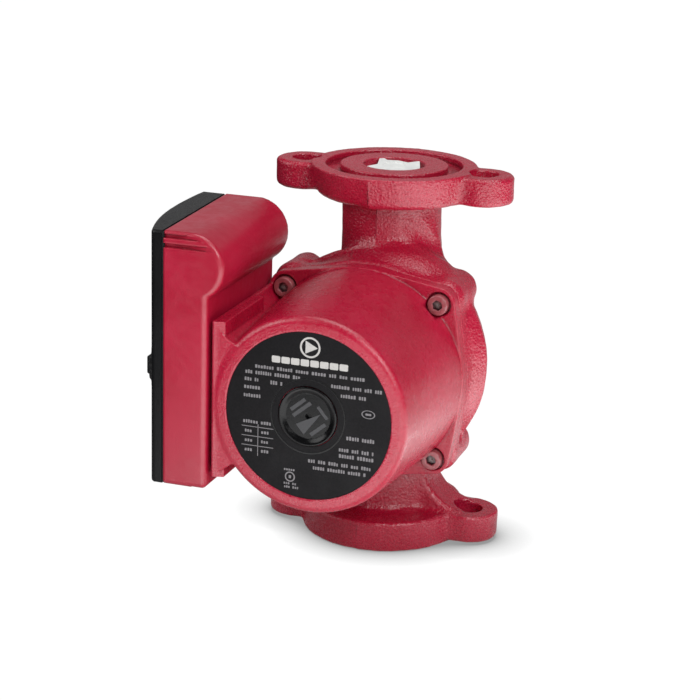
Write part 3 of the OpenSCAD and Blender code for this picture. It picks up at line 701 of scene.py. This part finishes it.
def add(name, mesh, body, mat):
    """Puts a piece in the scene on its body and material."""
    mesh.materials.clear()
    mesh.materials.append(mat)
    obj = placed(name, mesh)
    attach(obj, body)
    return obj


def cast(name, node, field, cell, faces, mat, body="pump", room=0.0):
    """A piece meshed from its distance field in the place of a CAD node."""
    lo, hi = box_mm(node)
    verts, quads = contour(field, lo - room, hi + room, cell)
    mesh = thinned(mesh_from(name, verts, quads), faces)
    p = shade_from(mesh, field)
    obj = add(name, mesh, body, mat)
    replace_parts(obj, node)
    return obj, p


# ---- materials ----


SOCKETS = {
    "color": "Base Color", "rough": "Roughness", "metal": "Metallic",
    "specular": "Specular IOR Level", "coat": "Coat Weight", "coat_rough": "Coat Roughness",
}
MID = (0.3, 0.7)


class Finish:
    """A material made of nodes: object coordinates in, one Principled shader out."""

    def __init__(self, name, **constants):
        self.mat = bpy.data.materials.new(name)
        self.mat.use_nodes = True
        self.tree = self.mat.node_tree
        self.shader = self.tree.nodes["Principled BSDF"]
        self.place = self.node("TexCoord").outputs["Object"]
        for key, value in constants.items():
            socket = self.shader.inputs[SOCKETS[key]]
            socket.default_value = (*value, 1) if key == "color" else value

    def node(self, kind, inputs=(), **fields):
        made = self.tree.nodes.new("ShaderNode" + kind)
        for key, value in fields.items():
            setattr(made, key, value)
        for key, value in dict(inputs).items():
            self.feed(made.inputs[key], value)
        return made

    def feed(self, socket, value):
        if isinstance(value, bpy.types.NodeSocket):
            self.tree.links.new(value, socket)
        elif isinstance(value, tuple):
            socket.default_value = (*value, 1)
        else:
            socket.default_value = value

    def stretched(self, scale):
        made = self.node("Mapping", {"Vector": self.place})
        made.inputs["Scale"].default_value = scale
        return made.outputs["Vector"]

    def noise(self, scale, detail=3.0, rough=0.5, bent=0.0, place=None):
        inputs = {"Vector": place or self.place, "Scale": scale, "Detail": detail,
                  "Roughness": rough, "Distortion": bent}
        return self.node("TexNoise", inputs).outputs["Fac"]

    def cells(self, scale, smooth):
        inputs = {"Vector": self.place, "Scale": scale, "Smoothness": smooth}
        return self.node("TexVoronoi", inputs, feature="SMOOTH_F1").outputs["Distance"]

    def waves(self, scale, bent=0.0):
        inputs = {"Vector": self.place, "Scale": scale, "Distortion": bent}
        return self.node("TexWave", inputs, bands_direction="Y").outputs["Fac"]

    def spread(self, source, lo, hi, out_lo=0.0, out_hi=1.0):
        inputs = {"Value": source, "From Min": lo, "From Max": hi, "To Min": out_lo, "To Max": out_hi}
        return self.node("MapRange", inputs, interpolation_type="SMOOTHSTEP").outputs["Result"]

    def value(self, name):
        return self.node("Attribute", attribute_name=name).outputs["Fac"]

    def math(self, what, a, b):
        return self.node("Math", {0: a, 1: b}, operation=what).outputs[0]

    def blend(self, share, a, b):
        return self.node("Mix", {0: share, 6: a, 7: b}, data_type="RGBA").outputs[2]

    def color(self, value):
        self.feed(self.shader.inputs["Base Color"], value)

    def rough(self, value):
        self.feed(self.shader.inputs["Roughness"], value)

    def bumps(self, *layers):
        """Layers of (height, depth in metres), the coarsest first."""
        normal = None
        for height, depth in layers:
            inputs = {"Strength": 1.0, "Distance": depth, "Height": height}
            if normal is not None:
                inputs["Normal"] = normal
            normal = self.node("Bump", inputs).outputs["Normal"]
        self.feed(self.shader.inputs["Normal"], normal)

    def surface(self, tone, colors, gloss, roughs, grain, depth, span=MID):
        """Colour by tone, roughness by gloss and one layer of bumps by grain."""
        self.color(self.blend(self.spread(tone, *span), *colors))
        self.rough(self.spread(gloss, *MID, *roughs))
        self.bumps((grain, depth))
        return self.mat

    def worn(self, red, span, share, color=None):
        """Paint thinned out on edges, or painted shade darkening the corners where the span is
        negative.
        """
        lo, hi = (0.0, share) if span[0] > 0 else (share, 0.0)
        return self.blend(self.spread(self.value("wear_and_shade"), *span, lo, hi), red, color or PALE_RED)


DEEP_RED = (0.375, 0.0032, 0.026)
MID_RED = (0.43, 0.0060, 0.036)
PALE_RED = (0.58, 0.075, 0.110)
# Darker copy of the red, painted into hollows as shade.
CORNER_SHADE_RED = (0.12, 0.002, 0.008)
TURNED = (300, 2500, 300)


def cast_paint():
    """Thick red enamel over a pebbled sand casting, bare iron inside."""
    f = Finish("housing_paint", rough=0.3, specular=0.8)
    pebbles = f.cells(1000, 0.8)
    grain = f.noise(1300, 3.0, 0.6, 0.6)
    tone = f.spread(f.noise(45, 4.0, 0.6), *MID)
    red = f.blend(tone, DEEP_RED, MID_RED)
    # Painted glints: sparse pale flecks mixed into the red.
    red = f.blend(f.spread(grain, 0.64, 0.8, 0.0, 0.05), red, PALE_RED)
    red = f.worn(red, (0.25, 0.7), 0.1)
    # Painted shade: hollows darkened towards a deeper red.
    red = f.worn(red, (-0.6, -0.15), 0.5, CORNER_SHADE_RED)
    iron = f.blend(tone, (0.10, 0.085, 0.075), (0.19, 0.17, 0.155))
    f.color(f.blend(f.value("raw"), red, iron))
    f.rough(f.spread(grain, *MID, 0.36, 0.22))
    f.bumps((f.noise(170, 2.0, 0.5), 0.00012), (pebbles, 0.00026), (grain, 0.00018))
    return f.mat


def smooth_paint(name, fine, rough):
    """Sprayed red enamel on die-cast aluminium, with an orange peel as strong as fine says."""
    f = Finish(name, rough=rough, specular=0.7, coat=0.08, coat_rough=0.14)
    red = f.blend(f.spread(f.noise(30, 3.0, 0.5), *MID), DEEP_RED, MID_RED)
    fleck = f.noise(1500, 2.0, 0.6)
    # Painted glints: sparse pale flecks mixed into the red.
    red = f.blend(f.spread(fleck, 0.66, 0.8, 0.0, 0.06), red, PALE_RED)
    red = f.worn(red, (0.3, 0.75), 0.05)
    # Painted shade: hollows darkened towards a deeper red.
    f.color(f.worn(red, (-0.6, -0.15), 0.4, CORNER_SHADE_RED))
    f.rough(f.spread(f.noise(260, 3.0, 0.5), *MID, rough - 0.04, rough + 0.08))
    f.bumps((f.noise(160, 2.0, 0.4), 0.00012 * fine), (fleck, 0.00009 * fine))
    return f.mat


def black_plastic(name, rough=0.36, tint=(0.004, 0.004, 0.005), specular=0.4):
    """Moulded black plastic with a fine spark-eroded grain."""
    f = Finish(name, rough=rough, specular=specular)
    grain = f.noise(2200, 2.0, 0.6)
    colors = (tint, tuple(1.6 * t for t in tint))
    roughs = (rough - 0.05, rough + 0.12)
    return f.surface(f.noise(60, 3.0, 0.5), colors, grain, roughs, grain, 0.00004, (0.35, 0.65))


def label_black():
    """Printed aluminium plate, matt black."""
    f = Finish("label_black", rough=0.5, specular=0.14)
    grain = f.noise(1400, 3.0, 0.6)
    colors = ((0.0045, 0.0042, 0.005), (0.008, 0.0072, 0.0085))
    return f.surface(grain, colors, f.noise(90, 3.0, 0.5), (0.42, 0.56), grain, 0.000015)


def label_ink(name, tint):
    """Pale printing ink, a little worn."""
    f = Finish(name, rough=0.55, specular=0.3)
    worn = f.noise(1100, 3.0, 0.7)
    f.color(f.blend(f.spread(worn, 0.55, 0.85), tint, tuple(0.45 * t for t in tint)))
    f.bumps((worn, 0.00001))
    return f.mat


def white_plastic():
    """Matt white acetal with faint flow marks."""
    f = Finish("white_plastic", rough=0.42, specular=0.45)
    flow = f.noise(120, 3.0, 0.5, 1.5)
    colors = ((0.74, 0.75, 0.74), (0.84, 0.85, 0.83))
    return f.surface(flow, colors, flow, (0.36, 0.5), f.noise(900, 2.0, 0.5), 0.00003)


def plain_plastic(name, dark, light, rough=0.45):
    """Moulded plastic in one tone with fine grain."""
    f = Finish(name, rough=rough, specular=0.45)
    tone, gloss, grain = f.noise(140, 3.0, 0.5), f.noise(1500, 2.0, 0.5), f.noise(1300, 2.0, 0.5)
    return f.surface(tone, (dark, light), gloss, (rough - 0.06, rough + 0.1), grain, 0.00003)


def rubber():
    """Black rubber with a dusty bloom."""
    f = Finish("rubber", rough=0.75, specular=0.3)
    bloom = f.noise(300, 4.0, 0.6)
    colors = ((0.010, 0.010, 0.011), (0.026, 0.026, 0.028))
    grain = f.noise(1600, 2.0, 0.5)
    return f.surface(bloom, colors, bloom, (0.66, 0.86), grain, 0.00004, (0.35, 0.75))


def metal(name, dark, light, rough, lines=(900, 900, 900)):
    """Bare metal with turning or rolling marks along one axis."""
    f = Finish(name, metal=1.0, rough=rough)
    marks = f.noise(1.0, 3.0, 0.6, 0.0, f.stretched(lines))
    roughs = (rough - 0.06, rough + 0.12)
    gloss = f.noise(200, 3.0, 0.6)
    return f.surface(marks, (dark, light), gloss, roughs, marks, 0.00001, (0.25, 0.75))


def laminated(name):
    """Stack of thin electrical steel sheets."""
    f = Finish(name, metal=1.0, rough=0.42)
    sheets = f.waves(320)
    stain = f.noise(90, 4.0, 0.6)
    steel = f.blend(f.spread(stain, 0.35, 0.7), (0.30, 0.30, 0.32), (0.16, 0.15, 0.15))
    f.color(f.blend(f.spread(sheets, 0.0, 0.25, 0.7, 0.0), steel, (0.03, 0.03, 0.03)))
    f.rough(f.spread(stain, *MID, 0.36, 0.55))
    f.bumps((sheets, 0.00008))
    return f.mat


def wound_copper():
    """Enamelled copper wire, wound round and round."""
    f = Finish("wound_copper", metal=1.0, rough=0.3, coat=0.6, coat_rough=0.15)
    turns = f.waves(420, 2.5)
    tone = f.noise(160, 3.0, 0.6)
    copper = f.blend(f.spread(tone, *MID), (0.48, 0.17, 0.06), (0.66, 0.28, 0.12))
    # Painted shade: dark bands in the crevices between turns.
    f.color(f.blend(f.spread(turns, 0.0, 0.4, 0.85, 0.0), copper, (0.09, 0.025, 0.01)))
    f.rough(f.spread(tone, *MID, 0.25, 0.42))
    f.bumps((turns, 0.00022))
    return f.mat


def ceramic():
    """Ground aluminium oxide."""
    f = Finish("ceramic", rough=0.22, specular=0.55)
    tone = f.noise(400, 3.0, 0.5)
    marks = f.noise(1.0, 2.0, 0.5, 0.0, f.stretched(TURNED))
    colors = ((0.66, 0.62, 0.52), (0.76, 0.73, 0.64))
    return f.surface(tone, colors, tone, (0.16, 0.3), marks, 0.00001)


def wire_skin(name, tint):
    """Extruded insulation with a slight gloss."""
    f = Finish(name, rough=0.35, specular=0.5)
    tone = f.noise(500, 2.0, 0.5)
    return f.surface(tone, (tint, tuple(1.5 * t for t in tint)), tone, (0.3, 0.45), tone, 0.00002)


def screw_paint():
    """Zinc screw oversprayed with the housing's red."""
    f = Finish("screw_paint", rough=0.26, specular=0.7, coat=0.4, coat_rough=0.12)
    patch = f.noise(420, 3.0, 0.6)
    red = f.blend(f.spread(patch, *MID), (0.13, 0.006, 0.014), (0.27, 0.010, 0.026))
    red = f.worn(red, (0.35, 0.8), 0.5, (0.42, 0.13, 0.14))
    # Painted shade: hollows round the head and inside the socket darkened almost to black.
    red = f.worn(red, (-0.7, -0.1), 0.9, (0.02, 0.006, 0.008))
    # Socket floor: bare zinc, kept pale so it also serves as a painted glint.
    f.color(f.blend(f.value("bare"), red, (0.24, 0.20, 0.19)))
    f.rough(f.spread(patch, *MID, 0.28, 0.46))
    f.bumps((f.noise(900, 2.0, 0.5), 0.00006))
    return f.mat


# ---- nameplate printing ----


class Print:
    """Thin raised marks on a plane that faces -Y, drawn in millimetres from the motor's axis."""

    def __init__(self, y, thick=0.06):
        self.y0, self.y1 = y - thick, y
        self.verts, self.faces = [], []

    def patch(self, points):
        """One closed mark from its outline, counter-clockwise as seen from the front."""
        n, base = len(points), len(self.verts)
        for y in (self.y0, self.y1):
            self.verts += [(x * MM, y * MM, (z + AXIS_Z) * MM) for x, z in points]
        self.faces.append([base + i for i in range(n)])
        self.faces.append([base + n + i for i in reversed(range(n))])
        for i in range(n):
            j = (i + 1) % n
            self.faces.append([base + j, base + i, base + n + i, base + n + j])

    def bar(self, x0, x1, z, height, soft=0.12):
        """Bar with cut corners."""
        h = height / 2
        soft = min(soft, h * 0.8, (x1 - x0) * 0.4)
        self.patch([(x0 + soft, z - h), (x1 - soft, z - h), (x1, z - h + soft), (x1, z + h - soft),
                    (x1 - soft, z + h), (x0 + soft, z + h), (x0, z + h - soft), (x0, z - h + soft)])

    def hoop(self, x, z, r, wide, squash=1.0, count=40):
        """Open ring made of short arcs that share their ends."""
        base = len(self.verts)
        for y in (self.y0, self.y1):
            for rad in (r - wide / 2, r + wide / 2):
                for i in range(count):
                    a = 2 * math.pi * i / count
                    spot = (x + rad * math.cos(a), z + rad * math.sin(a) * squash + AXIS_Z)
                    self.verts.append((spot[0] * MM, y * MM, spot[1] * MM))
        inner0, outer0, inner1, outer1 = [base + k * count for k in range(4)]
        sides = ((inner0, outer0), (outer1, inner1), (outer0, outer1), (inner1, inner0))
        for i in range(count):
            j = (i + 1) % count
            self.faces += [[a + i, b + i, b + j, a + j] for a, b in sides]

    def words(self, x0, x1, z, height, rng, letter=0.82):
        """A line of small blocks in groups, as text too small to read."""
        x = x0
        left = int(rng.integers(3, 8))
        while x < x1 - 0.3:
            wide = letter * float(rng.uniform(0.7, 1.1))
            if left == 0:
                x += letter * 1.3
                left = int(rng.integers(3, 8))
                continue
            top = height * float(rng.uniform(0.8, 1.0))
            self.bar(x, min(x + wide, x1), z - (height - top) / 2, top, 0.1)
            x += wide + letter * 0.42
            left -= 1

    def tilted(self, points, x, z, degrees):
        """A mark turned about a point."""
        a = math.radians(degrees)
        c, s = math.cos(a), math.sin(a)
        self.patch([(x + c * u - s * v, z + s * u + c * v) for u, v in points])

    def piece(self, name, mat):
        mesh = bpy.data.meshes.new(name)
        mesh.from_pydata(self.verts, [], self.faces)
        mesh.validate()
        mesh.update()
        return add(name, mesh, "pump", mat)


def pump_symbol(ink, x, z, r):
    """Generic pump pictogram: a ring with a solid triangle."""
    ink.hoop(x, z, r, 0.75, 1.0, 48)
    ink.patch([(x - r * 0.5, z - r * 0.68), (x + r * 0.82, z), (x - r * 0.5, z + r * 0.68)])


def plate_print(bright, grey):
    """Printing on the nameplate, all of it in generic marks."""
    rng = np.random.default_rng(7)
    ink = Print(PLATE_FACE)
    pump_symbol(ink, 0.4, 28.6, 3.9)
    for i in range(8):
        x = -15.6 + 4.05 * i
        ink.bar(x, x + 3.55, 22.1, 2.75, 0.35)
    ink.piece("nameplate_marks", bright)
    soft = Print(PLATE_FACE)
    soft.words(-22.6, 23.8, 18.2, 1.45, rng, 0.86)
    rows = [(-26.7, -3.3, 15.6, 1.6), (-27.0, -21.2, 12.5, 1.5), (-16.0, -10.8, 12.2, 1.6),
            (-27.2, -20.0, 9.2, 1.5), (-27.3, -20.0, 5.7, 1.5), (9.5, 30.6, 14.0, 1.5),
            (13.6, 24.6, 10.5, 1.5), (16.4, 28.0, -6.7, 1.7), (13.4, 27.8, -11.9, 1.6),
            (13.5, 28.0, -14.5, 1.6), (0.6, 27.2, -18.4, 1.5), (2.7, 24.8, -21.1, 1.5),
            (-27.4, -14.6, -5.3, 1.4)]
    for x0, x1, z, h in rows:
        soft.words(x0, x1, z, h, rng)
    for i in range(3):
        z = -7.4 - 4.0 * i
        soft.bar(-28.0, -14.4, z, 0.28, 0.05)
        soft.words(-26.6, -23.2, z - 1.9, 1.3, rng)
        soft.words(-19.6, -16.4, z - 1.9, 1.3, rng)
    soft.bar(-21.15, -20.87, -12.9, 13.4, 0.05)
    soft.hoop(25.2, 4.2, 2.6, 0.42, 0.62)
    soft.bar(24.0, 26.4, 4.2, 0.8)
    soft.hoop(-7.0, -26.4, 1.9, 0.5)
    soft.bar(-7.5, -6.5, -26.4, 1.3)
    soft.words(-9.6, -3.8, -23.4, 0.9, rng, 0.7)
    soft.words(-9.6, -4.2, -29.3, 0.95, rng, 0.7)
    soft.words(-9.4, -3.4, -30.8, 0.95, rng, 0.7)
    soft.piece("nameplate_text", grey)


def plate_ring(black):
    """Thin raised ring on the nameplate round the centre plug."""
    ring = Print(PLATE_FACE, 0.12)
    ring.hoop(0, 0, 15.5, 0.5, 1.0, 96)
    ring.piece("nameplate_ring", black)


def plug_print(grey):
    """Generic non-return valve symbol and two bars on the plug's dished face."""
    tilt = 40
    ink = Print(PLUG_LO[1] + 1.1, 0.05)
    ink.tilted([(-6.6, -4.2), (-6.6, 1.0), (4.8, -1.6)], 0.6, -0.4, tilt)
    ink.tilted([(5.1, -4.7), (6.4, -4.7), (6.4, 1.5), (5.1, 1.5)], 0.6, -0.4, tilt)
    for u0, u1, v0, v1 in ((-4.4, 3.4, 5.4, 6.9), (-5.2, 4.4, 2.9, 4.4), (-4.0, 4.0, -7.4, -5.9)):
        ink.tilted([(u0, v0), (u1, v0), (u1, v1), (u0, v1)], 0, 0, tilt)
    ink.piece("plug_marks", grey)


# ---- the pieces ----


def build_castings(housing_mat, motor_mat, box_mat, cover_mat):
    """Housing, motor, terminal box and cover: cell in millimetres, faces after thinning."""
    obj, p = cast("housing_casting", "pump_housing", housing, 0.7, 190000,
                  housing_mat, room=0.4)
    attribute(obj.data, "raw", housing_raw(p))
    cast("motor_shell", "motor_housing", motor, 0.62, 150000, motor_mat)
    cast("box_shell", "terminal_box", terminal_box, 0.62, 90000, box_mat)
    cast("cover_shell", "terminal_cover", terminal_cover, 0.62, 70000, cover_mat)


def build_small(plug_mat, knob_mat, screw_mat):
    """Plug, knob and the four housing screws, each screw turned a little differently."""
    cast("plug_disc", "vent_plug", vent_plug, 0.3, 40000, plug_mat)
    cast("knob_dial", "speed_knob", knob, 0.36, 40000, knob_mat, "speed_selector")
    reach = SCREW_HEAD_R + 0.05
    end = SCREW_LONG + 0.1
    verts, quads = contour(cap_screw, (-reach, -0.1, -reach), (reach, end, reach), 0.24)
    mesh = thinned(mesh_from("screw", verts, quads), 9000)
    p = shade_from(mesh, cap_screw)
    # Bare zinc at the socket floor, which also stands in as a painted glint.
    bare = np.clip((1.5 - np.hypot(p[0], p[2])) / 0.4, 0, 1) * (p[1] > 1.2) * (p[1] < 5)
    attribute(mesh, "bare", bare)
    group = []
    for sx in (-1, 1):
        for sz in (-1, 1):
            one = mesh.copy()
            turn = Matrix.Rotation(math.radians(17 * sx + 31 * sz), 4, "Y")
            shift = Matrix.Translation(Vector((sx * EAR, JOINT - 9, AXIS_Z + sz * EAR)) * MM)
            one.transform(shift @ turn)
            group.append(placed("screw", one))
    with bpy.context.temp_override(active_object=group[0], selected_editable_objects=group):
        bpy.ops.object.join()
    joined = group[0].data.copy()
    bpy.data.objects.remove(group[0])
    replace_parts(add("ear_screws", joined, "pump", screw_mat), "housing_screws")


def build_spring(mat):
    """Valve spring as a round wire coil with flat end turns."""
    lo, hi = box_mm("check_valve_spring")
    wire = 0.35
    coil = (hi[0] - lo[0]) / 2 - wire
    turns, steps, sides = 6, 40, 12
    count = turns * steps + 1
    along = np.linspace(0, 1, count)
    angle = 2 * math.pi * turns * along
    rise = smooth((along - 0.12) / 0.76)
    z = lo[2] + wire + (hi[2] - lo[2] - 2 * wire) * (0.06 * along + 0.94 * rise)
    round_wire = 2 * math.pi * np.arange(sides) / sides
    reach = coil + wire * np.cos(round_wire)[None, :]
    verts = np.stack([reach * np.cos(angle)[:, None], reach * np.sin(angle)[:, None],
                      z[:, None] + wire * np.sin(round_wire)[None, :]], -1).reshape(-1, 3) * MM
    faces = [list(range(sides))[::-1], [(count - 1) * sides + j for j in range(sides)]]
    for i in range(count - 1):
        for j in range(sides):
            k = (j + 1) % sides
            faces.append([i * sides + j, i * sides + k, (i + 1) * sides + k, (i + 1) * sides + j])
    mesh = bpy.data.meshes.new("valve_spring")
    mesh.from_pydata(verts.tolist(), [], faces)
    mesh.polygons.foreach_set("use_smooth", [False, False] + [True] * (len(faces) - 2))
    obj = add("valve_spring", mesh, "pump", mat)
    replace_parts(obj, "check_valve_spring")
    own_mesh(obj)


def paint_nodes(finishes):
    """Procedural materials for the CAD nodes that are shown as they are."""
    for mat, names in finishes:
        for name in names:
            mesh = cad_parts[name].data
            mesh.materials.clear()
            mesh.materials.append(mat)


def build_pieces():
    plug_mat = black_plastic("plug_plastic", 0.16, (0.002, 0.002, 0.0023), 0.27)
    knob_mat = black_plastic("knob_plastic", 0.4)
    cover_mat = black_plastic("cover_plastic", 0.34, (0.003, 0.003, 0.0036), 0.28)
    build_castings(cast_paint(), smooth_paint("motor_paint", 2.2, 0.27),
                   smooth_paint("box_paint", 0.5, 0.34), cover_mat)
    build_small(plug_mat, knob_mat, screw_paint())
    grey = label_ink("label_grey", (0.21, 0.20, 0.21))
    plate_print(label_ink("label_white", (0.50, 0.485, 0.47)), grey)
    plug_print(label_ink("plug_grey", (0.06, 0.06, 0.064)))
    plate_ring(plug_mat)
    steel = metal("steel", (0.42, 0.43, 0.45), (0.60, 0.61, 0.63), 0.3, TURNED)
    noryl = plain_plastic("impeller_plastic", (0.035, 0.036, 0.04), (0.055, 0.056, 0.062))
    brass = metal("brass", (0.52, 0.36, 0.13), (0.68, 0.50, 0.22), 0.28)
    build_spring(steel)
    paint_nodes([
        (label_black(), ["nameplate"]),
        (white_plastic(), ["check_valve_cage", "winding_insulators"]),
        (plain_plastic("poppet_plastic", (0.02, 0.022, 0.03), (0.035, 0.038, 0.05)),
         ["check_valve_poppet"]),
        (rubber(), ["check_valve_o_ring", "housing_gasket", "can_o_ring", "thrust_bearing_mount",
                      "vent_plug_seal", "box_gasket", "cover_gasket"]),
        (steel, ["neck_ring", "bearing_plate", "rotor_can", "front_bearing_plate",
                 "rotor_sleeve", "impeller_clip", "box_screws", "cover_screws", "capacitor_clip",
                 "selector_spindle"]),
        (laminated("laminated_steel"), ["stator_core", "rotor_core"]),
        (ceramic(), ["rear_bearing", "front_bearing", "rotor_shaft"]),
        (plain_plastic("carbon", (0.012, 0.012, 0.013), (0.03, 0.03, 0.032), 0.5), ["thrust_bearing"]),
        (noryl, ["impeller_back_plate", "impeller_blades", "impeller_front_plate"]),
        (wound_copper(), ["front_winding", "rear_winding"]),
        (brass, ["terminal_screws", "switch_wiper"]),
        (metal("capacitor_can", (0.55, 0.56, 0.58), (0.70, 0.71, 0.73), 0.35), ["capacitor"]),
        (plain_plastic("cream_plastic", (0.62, 0.58, 0.46), (0.72, 0.69, 0.58)), ["terminal_block"]),
        (plain_plastic("switch_plastic", (0.022, 0.022, 0.026), (0.04, 0.04, 0.045)), ["switch_body"]),
        (wire_skin("wire_blue", (0.02, 0.05, 0.25)), ["lead_wires"]),
        (wire_skin("wire_black", (0.012, 0.012, 0.013)), ["jumper_wires"]),
        (metal("green_screw", (0.03, 0.16, 0.05), (0.06, 0.28, 0.09), 0.35), ["ground_screw"]),
    ])


# ---- stage, in metres ----

VIEW_DEGREES = (18.48, -16.87, 1.667)
VIEW_FROM = (0.2583, -0.8246, 0.3456)
VIEW_SHIFT = (-0.0015, -0.0094)
LENS_MM = 105.1
SENSOR_MM = 36
PANEL_Z = 0.003
SHADOW_REACH = 0.019
SHADOW_CURVE = 1.45
SHADOW_DARKEST = 0.3
DULL_TO_PALE = (-0.32, 0.03)


def camera():
    """Camera at the photograph's viewing angle."""
    yaw, pitch, roll = (math.radians(a) for a in VIEW_DEGREES)
    flat = math.cos(pitch)
    ahead = Vector((-math.sin(yaw) * flat, math.cos(yaw) * flat, math.sin(pitch)))
    right = Vector((math.cos(yaw), math.sin(yaw), 0))
    up = right.cross(ahead)
    side = right * math.cos(roll) + up * math.sin(roll)
    over = up * math.cos(roll) - right * math.sin(roll)
    data = bpy.data.cameras.new("camera")
    data.lens = LENS_MM
    data.sensor_width = SENSOR_MM
    data.shift_x, data.shift_y = VIEW_SHIFT
    data.clip_start, data.clip_end = 0.01, 50
    cam = placed("camera", data)
    turn = Matrix((side, over, -ahead)).transposed().to_4x4()
    cam.matrix_world = Matrix.Translation(VIEW_FROM) @ turn
    bpy.context.scene.camera = cam


def soft_light(name, place, size, power, aim=(0, 0, 0.09)):
    """Large soft light that looks at the pump or at another point."""
    data = bpy.data.lights.new(name, "AREA")
    data.shape = "RECTANGLE"
    data.size, data.size_y = size
    data.energy = power
    obj = placed(name, data)
    obj.location = place
    obj.visible_camera = False
    obj.rotation_euler = (Vector(place) - Vector(aim)).to_track_quat("Z", "Y").to_euler()


def mixed(tree, share, a, b):
    """Mix of two shaders: b where share is 1."""
    mix = tree.nodes.new("ShaderNodeMixShader")
    for slot, source in enumerate((share, a, b)):
        tree.links.new(source, mix.inputs[slot])
    return mix.outputs[0]


def surroundings(seen, ambient):
    """White for the camera, a softer white for everything else."""
    world = bpy.data.worlds.new("world")
    bpy.context.scene.world = world
    world.use_nodes = True
    tree = world.node_tree
    back = tree.nodes["Background"]
    back.inputs["Color"].default_value = (1, 1, 1, 1)
    back.inputs["Strength"].default_value = ambient
    white = tree.nodes.new("ShaderNodeBackground")
    white.inputs["Strength"].default_value = seen
    path = tree.nodes.new("ShaderNodeLightPath")
    sky = mixed(tree, path.outputs["Is Camera Ray"], back.outputs[0], white.outputs[0])
    tree.links.new(sky, tree.nodes["World Output"].inputs["Surface"])


def floor():
    """White floor that glows, with a soft contact shadow painted into its glow from occlusion; duller
    to the left in reflections, open from below.
    """
    f = Finish("floor", rough=0.9, specular=0.0, color=(0, 0, 0))
    near = f.node("AmbientOcclusion", {"Distance": SHADOW_REACH}, samples=16)
    shade = f.spread(f.noise(3, 2.0, 0.5), *MID, 1.01, 1.04)
    # Painted shadow: the glow drops where the floor is occluded near the pump.
    open_share = f.math("POWER", near.outputs["AO"], SHADOW_CURVE)
    open_share = f.math("MAXIMUM", open_share, SHADOW_DARKEST)
    f.feed(f.shader.inputs["Emission Color"], (1, 1, 1))
    f.feed(f.shader.inputs["Emission Strength"], f.math("MULTIPLY", open_share, shade))
    across = f.node("SeparateXYZ", {0: f.place}).outputs["X"]
    grey = f.blend(f.spread(across, *DULL_TO_PALE), (0.03, 0.03, 0.03), (0.85, 0.85, 0.85))
    dull = f.node("BsdfDiffuse", {"Color": grey})
    clear = f.node("BsdfTransparent")
    seen = f.node("LightPath").outputs["Is Camera Ray"]
    under = f.node("NewGeometry").outputs["Backfacing"]
    above = mixed(f.tree, seen, dull.outputs[0], f.shader.outputs[0])
    both = mixed(f.tree, under, above, clear.outputs[0])
    f.feed(f.tree.nodes["Material Output"].inputs["Surface"], both)
    size, drop = 12.0, -0.0002
    corners = [(x * size, y * size, drop) for x, y in ((-1, -1), (1, -1), (1, 1), (-1, 1))]
    mesh = bpy.data.meshes.new("floor")
    mesh.from_pydata(corners, [], [(0, 1, 2, 3)])
    mesh.materials.append(f.mat)
    placed("floor", mesh)


def studio():
    """Light, floor and white surroundings; low panels stand for the bright floor in reflections."""
    surroundings(1.0, 0.04)
    soft_light("key", (1.05, -0.95, 1.05), (0.9, 0.9), 17.0)
    soft_light("fill", (-1.2, -0.75, 0.9), (1.2, 1.0), 12.0)
    soft_light("top", (0.1, 0.1, 1.4), (1.0, 0.9), 9.0)
    soft_light("back", (-0.2, 1.7, 0.55), (2.6, 1.0), 2.8)
    panels = (("low", 0.355, -0.44, (0.79, 0.56), 2.6), ("right", 0.39, -0.02, (0.6, 0.2), 0.8),
              ("near", -0.07, -0.25, (0.08, 0.14), 0.06))
    for name, x, y, size, power in panels:
        soft_light(name, (x, y, PANEL_Z), size, power, (x, y, 1.0))
    floor()
    bpy.context.scene.view_settings.view_transform = "Standard"


camera()
studio()
build_pieces()
